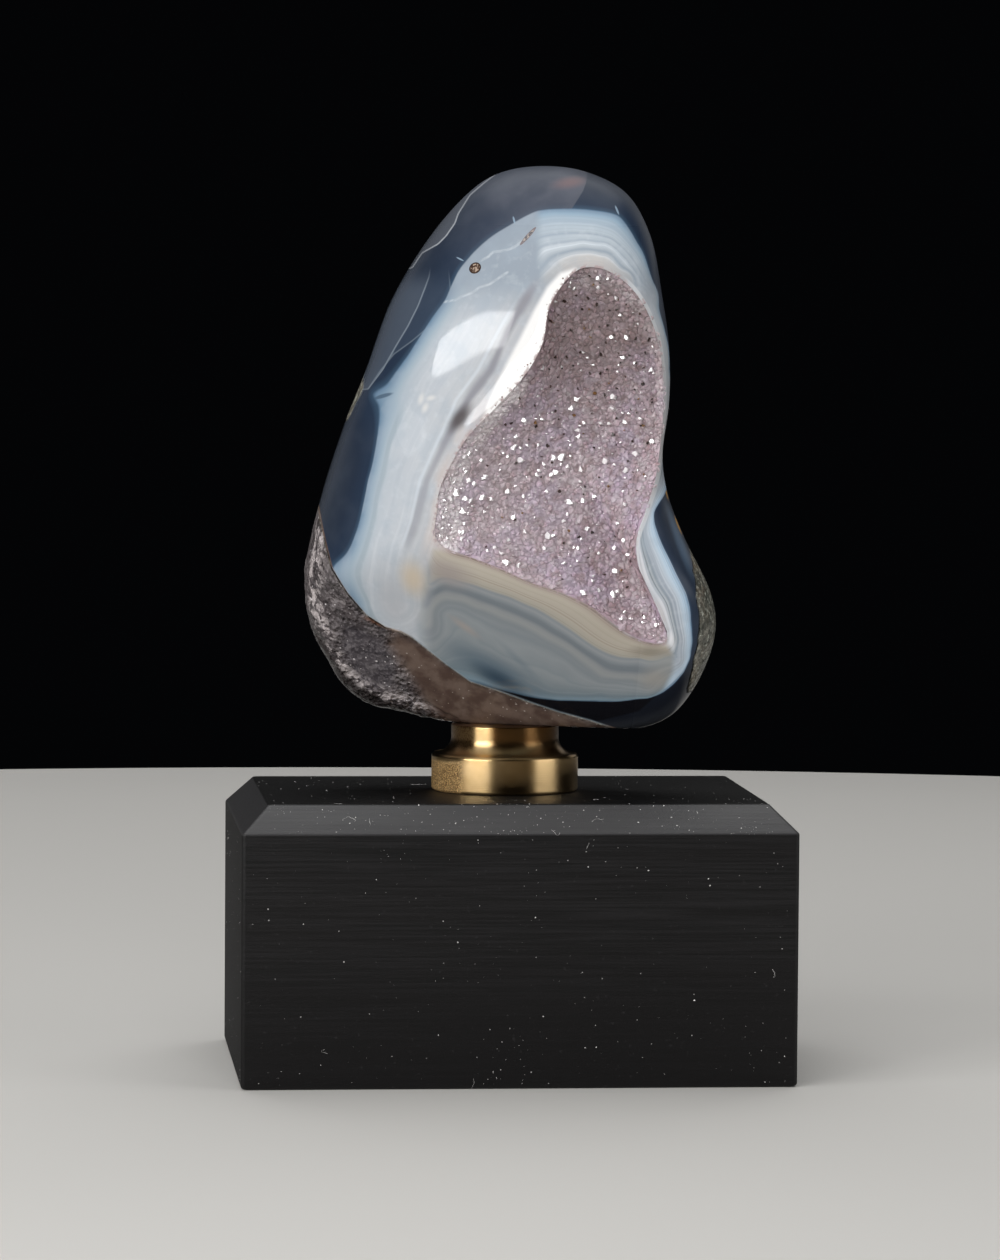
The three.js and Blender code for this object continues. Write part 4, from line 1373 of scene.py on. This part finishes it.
def add_collar():
    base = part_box("brass_collar")[0].z
    centre = FILLET_RADIUS + NECK_RADIUS
    fillet_top = FOOT_HEIGHT + FILLET_RADIUS
    curve = [(centre - FILLET_RADIUS * math.cos(turn), fillet_top - FILLET_RADIUS * math.sin(turn))
             for turn in np.linspace(math.pi / 2, 0, 13)]
    edge = COLLAR_EDGE
    foot = rounded([
        (COLLAR_BORE, 0), (FOOT_RADIUS - edge, 0), (FOOT_RADIUS, edge),
        (FOOT_RADIUS, FOOT_HEIGHT - edge), (FOOT_RADIUS - edge, FOOT_HEIGHT),
        (centre, FOOT_HEIGHT),
    ], 0.25)
    neck = rounded([(NECK_RADIUS, fillet_top), (NECK_RADIUS, COLLAR_HEIGHT),
                    (COLLAR_BORE, COLLAR_HEIGHT)], 0.3)
    turns = even_turns(COLLAR_STEPS)
    circle = np.stack([np.cos(turns), np.sin(turns), np.zeros(COLLAR_STEPS)], axis=1)
    rings = [circle * radius + np.array([0, 0, height])
             for radius, height in np.concatenate([foot[:-1], curve, neck[1:]])]
    places = np.concatenate(rings) * MM + np.array([0, 0, base])
    collar = add_piece("turned_collar", places, stacked_faces(len(rings), COLLAR_STEPS),
                       brass_material(), stands_for=["brass_collar"])
    smooth_below(collar.data, COLLAR_EDGE_ANGLE)


# The wooden block

TOP_CHAMFER = 5
FOOT_CHAMFER = 0.5
BLOCK_CORNER_RADIUS = 0.8
BLOCK_CORNER_STEPS = 6
BLOCK_EDGE_ANGLE = 25

# The wood darkens downwards between these heights
DARKENS = (36, 4)


def wood_material():
    g = Graph("black_wood")
    fibres = g.noise(0.34, 5, stretch=(60, 1, 1), roughness=0.6)
    growth = g.noise(3.5, 3, stretch=(30, 1, 1))
    height = g.part("Z")
    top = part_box("wood_block")[1].z / MM
    edge = top - TOP_CHAMFER
    chamfer = g.times(g.fade(height, edge - 0.1, edge + 0.2), g.fade(height, top - 0.1, top - 0.3))
    from_edge = g.size(g.math("SUBTRACT", height, edge))
    colour = g.tinted(g.mix(g.fade(fibres, 0.35, 0.68), (12, 12, 12), (24, 23, 24)), [
        (g.fade(growth, 0.42, 0.68, 0.5), (13, 11, 11)),
        (g.fade(height, *DARKENS, 0.8), (3, 2, 3)),
        (g.patches(0.9, 4, 0.64, 0.78, 0.45), (44, 43, 44)),
        # Painted sheen: the chamfer all round the top is painted lighter
        (g.times(chamfer, 0.6), (38, 37, 39)),
        (g.fade(from_edge, 0.3, 0.05, 0.5), (56, 55, 56)),
        (g.fade(height, top - 0.15, top - 0.05, 0.7), (5, 5, 5)),
    ])
    normal = g.node("TexCoord", {}).outputs["Normal"]
    facing = g.node("SeparateXYZ", {0: normal}).outputs["X"]
    end_grain = g.fade(g.size(facing), 0.6, 0.95)
    sheen = g.fade(fibres, 0.3, 0.7, 0.52, 0.42)
    gloss = g.fade(g.math("SUBTRACT", chamfer, end_grain), 0.0, 1.0, 0.9, 0.3)
    return g.surface(Base_Color=colour, Roughness=g.math("ADD", sheen, g.times(end_grain, 0.3)),
                     Specular_IOR_Level=gloss,
                     Normal=g.bump(g.math("ADD", fibres, g.noise(0.25, 2)), 0.025))


def add_block():
    low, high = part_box("wood_block")
    size = (high - low) / MM
    radius = BLOCK_CORNER_RADIUS
    profile = rounded([
        (FOOT_CHAMFER + 6, 0), (FOOT_CHAMFER, 0), (0, FOOT_CHAMFER), (0, size.z - TOP_CHAMFER),
        (TOP_CHAMFER, size.z), (TOP_CHAMFER + 10, size.z),
    ], 0.35)
    places = []
    for inset, height in profile:
        for corner, (right, back) in enumerate([(1, 1), (-1, 1), (-1, -1), (1, -1)]):
            x = right * (size.x / 2 - inset - radius)
            y = back * (size.y / 2 - inset - radius)
            for step in range(BLOCK_CORNER_STEPS + 1):
                angle = (corner + step / BLOCK_CORNER_STEPS) * math.pi / 2
                places.append((x + radius * math.cos(angle), y + radius * math.sin(angle), height))
    faces = stacked_faces(len(profile), 4 * (BLOCK_CORNER_STEPS + 1))
    block = add_piece("display_block", np.array(places) * MM, faces, wood_material(),
                      stands_for=["wood_block"])
    smooth_below(block.data, BLOCK_EDGE_ANGLE)


# Dust and lint that lie on the block

DUST_SEED = 5
DUST_COUNT = 900
DUST_RADII = (0.035, 0.13)
DUST_CLUMPS = 60
CLUMPED_SHARE = 0.5
CLUMP_SPREAD = (0.02, 0.05)
LINT_COUNT = 14
LINT_RADIUS = 0.022
LINT_STEP = 0.28

# Shares of the dust on the block's front, left side, front chamfer and top
FACE_SHARES = [0.3, 0.1, 0.28, 0.32]


def block_face_spots(count, random):
    """Random places on the block's front, left side, front chamfer and top, in metres,
    each with two directions along its face."""
    low, high = (np.array(corner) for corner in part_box("wood_block"))
    size = (high - low) / MM
    top = size[2] - TOP_CHAMFER
    x, y, z = np.eye(3)
    flat = x * (size[0] - 2 * TOP_CHAMFER)
    faces = np.array([
        ((2, 0, 1), x * (size[0] - 4), z * (size[2] - 7)),
        ((0, 2, 1), y * (size[1] - 4), z * (size[2] - 7)),
        ((TOP_CHAMFER, 0, top), flat, (y + z) * TOP_CHAMFER),
        ((TOP_CHAMFER, TOP_CHAMFER, size[2]), flat, y * (size[1] - 2 * TOP_CHAMFER)),
    ]) * MM
    picks = random.choice(len(faces), count, p=FACE_SHARES)
    shares = random.random((count, 2))
    clumps = random.random((DUST_CLUMPS, 2))[random.integers(0, DUST_CLUMPS, count)]
    clumps = clumps + random.normal(0, 1, (count, 2)) * CLUMP_SPREAD
    clumped = random.random((count, 1)) < CLUMPED_SHARE
    shares = np.clip(np.where(clumped, clumps, shares), 0, 1)
    corners, alongs, ups = faces[picks].transpose(1, 0, 2)
    places = low + corners + alongs * shares[:, :1] + ups * shares[:, 1:]
    return zip(places, unit(alongs), unit(ups), np.cross(unit(alongs), unit(ups)))


def add_dust():
    random = np.random.default_rng(DUST_SEED)
    points, faces = [], []
    low, high = DUST_RADII
    for place, along, up, out in block_face_spots(DUST_COUNT, random):
        size = (low + (high - low) * random.random() ** 3) * MM
        long = size * random.uniform(0.6, 1.8)
        turn = random.uniform(0, math.pi)
        across = (along * math.cos(turn) + up * math.sin(turn)) * long
        over = (up * math.cos(turn) - along * math.sin(turn)) * size
        start = len(points)
        points += [place + way for way in (across, over, -across, -over, out * size * 0.7,
                                           -out * size * 0.7)]
        for side, after in zip(range(4), (1, 2, 3, 0)):
            faces.append((start + side, start + after, start + 4))
            faces.append((start + after, start + side, start + 5))
    radius = LINT_RADIUS * MM
    for place, along, up, out in block_face_spots(LINT_COUNT, random):
        heading = random.uniform(0, 2 * math.pi)
        bend = random.normal(0, 0.15)
        centre = place + out * radius
        rings = random.integers(5, 14)
        faces += stacked_faces(rings, 4, start=len(points))
        for _ in range(rings):
            side = up * math.cos(heading) - along * math.sin(heading)
            points += [centre + way * radius for way in (side, out, -side, -out)]
            ahead = along * math.cos(heading) + up * math.sin(heading)
            centre = centre + ahead * LINT_STEP * MM
            heading += bend + random.normal(0, 0.45)
    g = Graph("pale_dust")
    colour = g.mix(g.patches(0.8, 2, 0.35, 0.65), (120, 118, 116), (236, 234, 232))
    add_piece("block_dust", np.array(points), faces, g.surface(Base_Color=colour, Roughness=0.9))


# Stage, lights and camera

FLOOR_RADIUS = 0.65
FLOOR_STEPS = 160
ROOM_COLOUR = (0.0012, 0.0013, 0.0016, 1)

# Softboxes: name, seat seen from the stone, width, height, power, and whether it mirrors
SOFTBOXES = [
    ("key", KEY_SEAT, 0.67, 0.112, 4.2, True),
    ("key_soft", (-8, 24, 0.9), 0.7, 0.6, 4.7, False),
    ("right", (67, 12, 0.9), 0.62, 0.25, 1.7, True),
    ("overhead", (180, 80, 0.85), 1.0, 1.0, 5.0, True),
    ("back_left", (-150, 14, 0.9), 0.5, 0.6, 0.5, False),
    ("back_right", (150, 25, 0.9), 0.5, 0.6, 0.2, True),
    ("back_top", (180, 40, 0.95), 1.2, 0.5, 1.8, False),
]


def add_lights():
    for name, seat, width, height, power, mirrored in SOFTBOXES:
        lamp = bpy.data.lights.new(name, "AREA")
        lamp.shape = "RECTANGLE"
        lamp.size, lamp.size_y = width, height
        lamp.energy = power
        box = add_to_scene(name, lamp)
        box.location = from_stone(*seat)
        box.visible_glossy = mirrored
        box.rotation_euler = (STONE_MIDDLE - box.location).to_track_quat("-Z", "Y").to_euler()


def add_stage():
    turns = even_turns(FLOOR_STEPS)
    points = np.stack([np.cos(turns), np.sin(turns), np.zeros(FLOOR_STEPS)], axis=1)
    mesh = new_mesh("floor", points * FLOOR_RADIUS, [tuple(range(FLOOR_STEPS))])
    mesh.materials.append(Graph("plain_floor").surface(Base_Color=srgb(196, 194, 190),
                                                       Roughness=0.75))
    floor = add_to_scene("floor", mesh)

    world = bpy.data.worlds.new("studio")
    bpy.context.scene.world = world
    world.use_nodes = True
    background = world.node_tree.nodes["Background"]
    background.inputs["Color"].default_value = ROOM_COLOUR
    background.inputs["Strength"].default_value = 1.0


def add_camera():
    lens = bpy.data.cameras.new("camera")
    lens.sensor_width = SENSOR_MM
    lens.lens = FOCAL_PIXELS / PHOTO_HEIGHT * SENSOR_MM
    camera = add_to_scene("camera", lens)
    camera.location = Vector(CAMERA_PLACE_MM) * MM
    camera.rotation_euler = (CAMERA_TURN @ Matrix.Rotation(math.pi / 2, 3, "X")).to_euler()
    bpy.context.scene.camera = camera


add_block()
add_dust()
add_collar()
add_stone()
add_crust()
add_stage()
add_lights()
add_camera()

bpy.context.scene.view_settings.view_transform = "Standard"
bpy.context.scene.view_settings.look = "None"
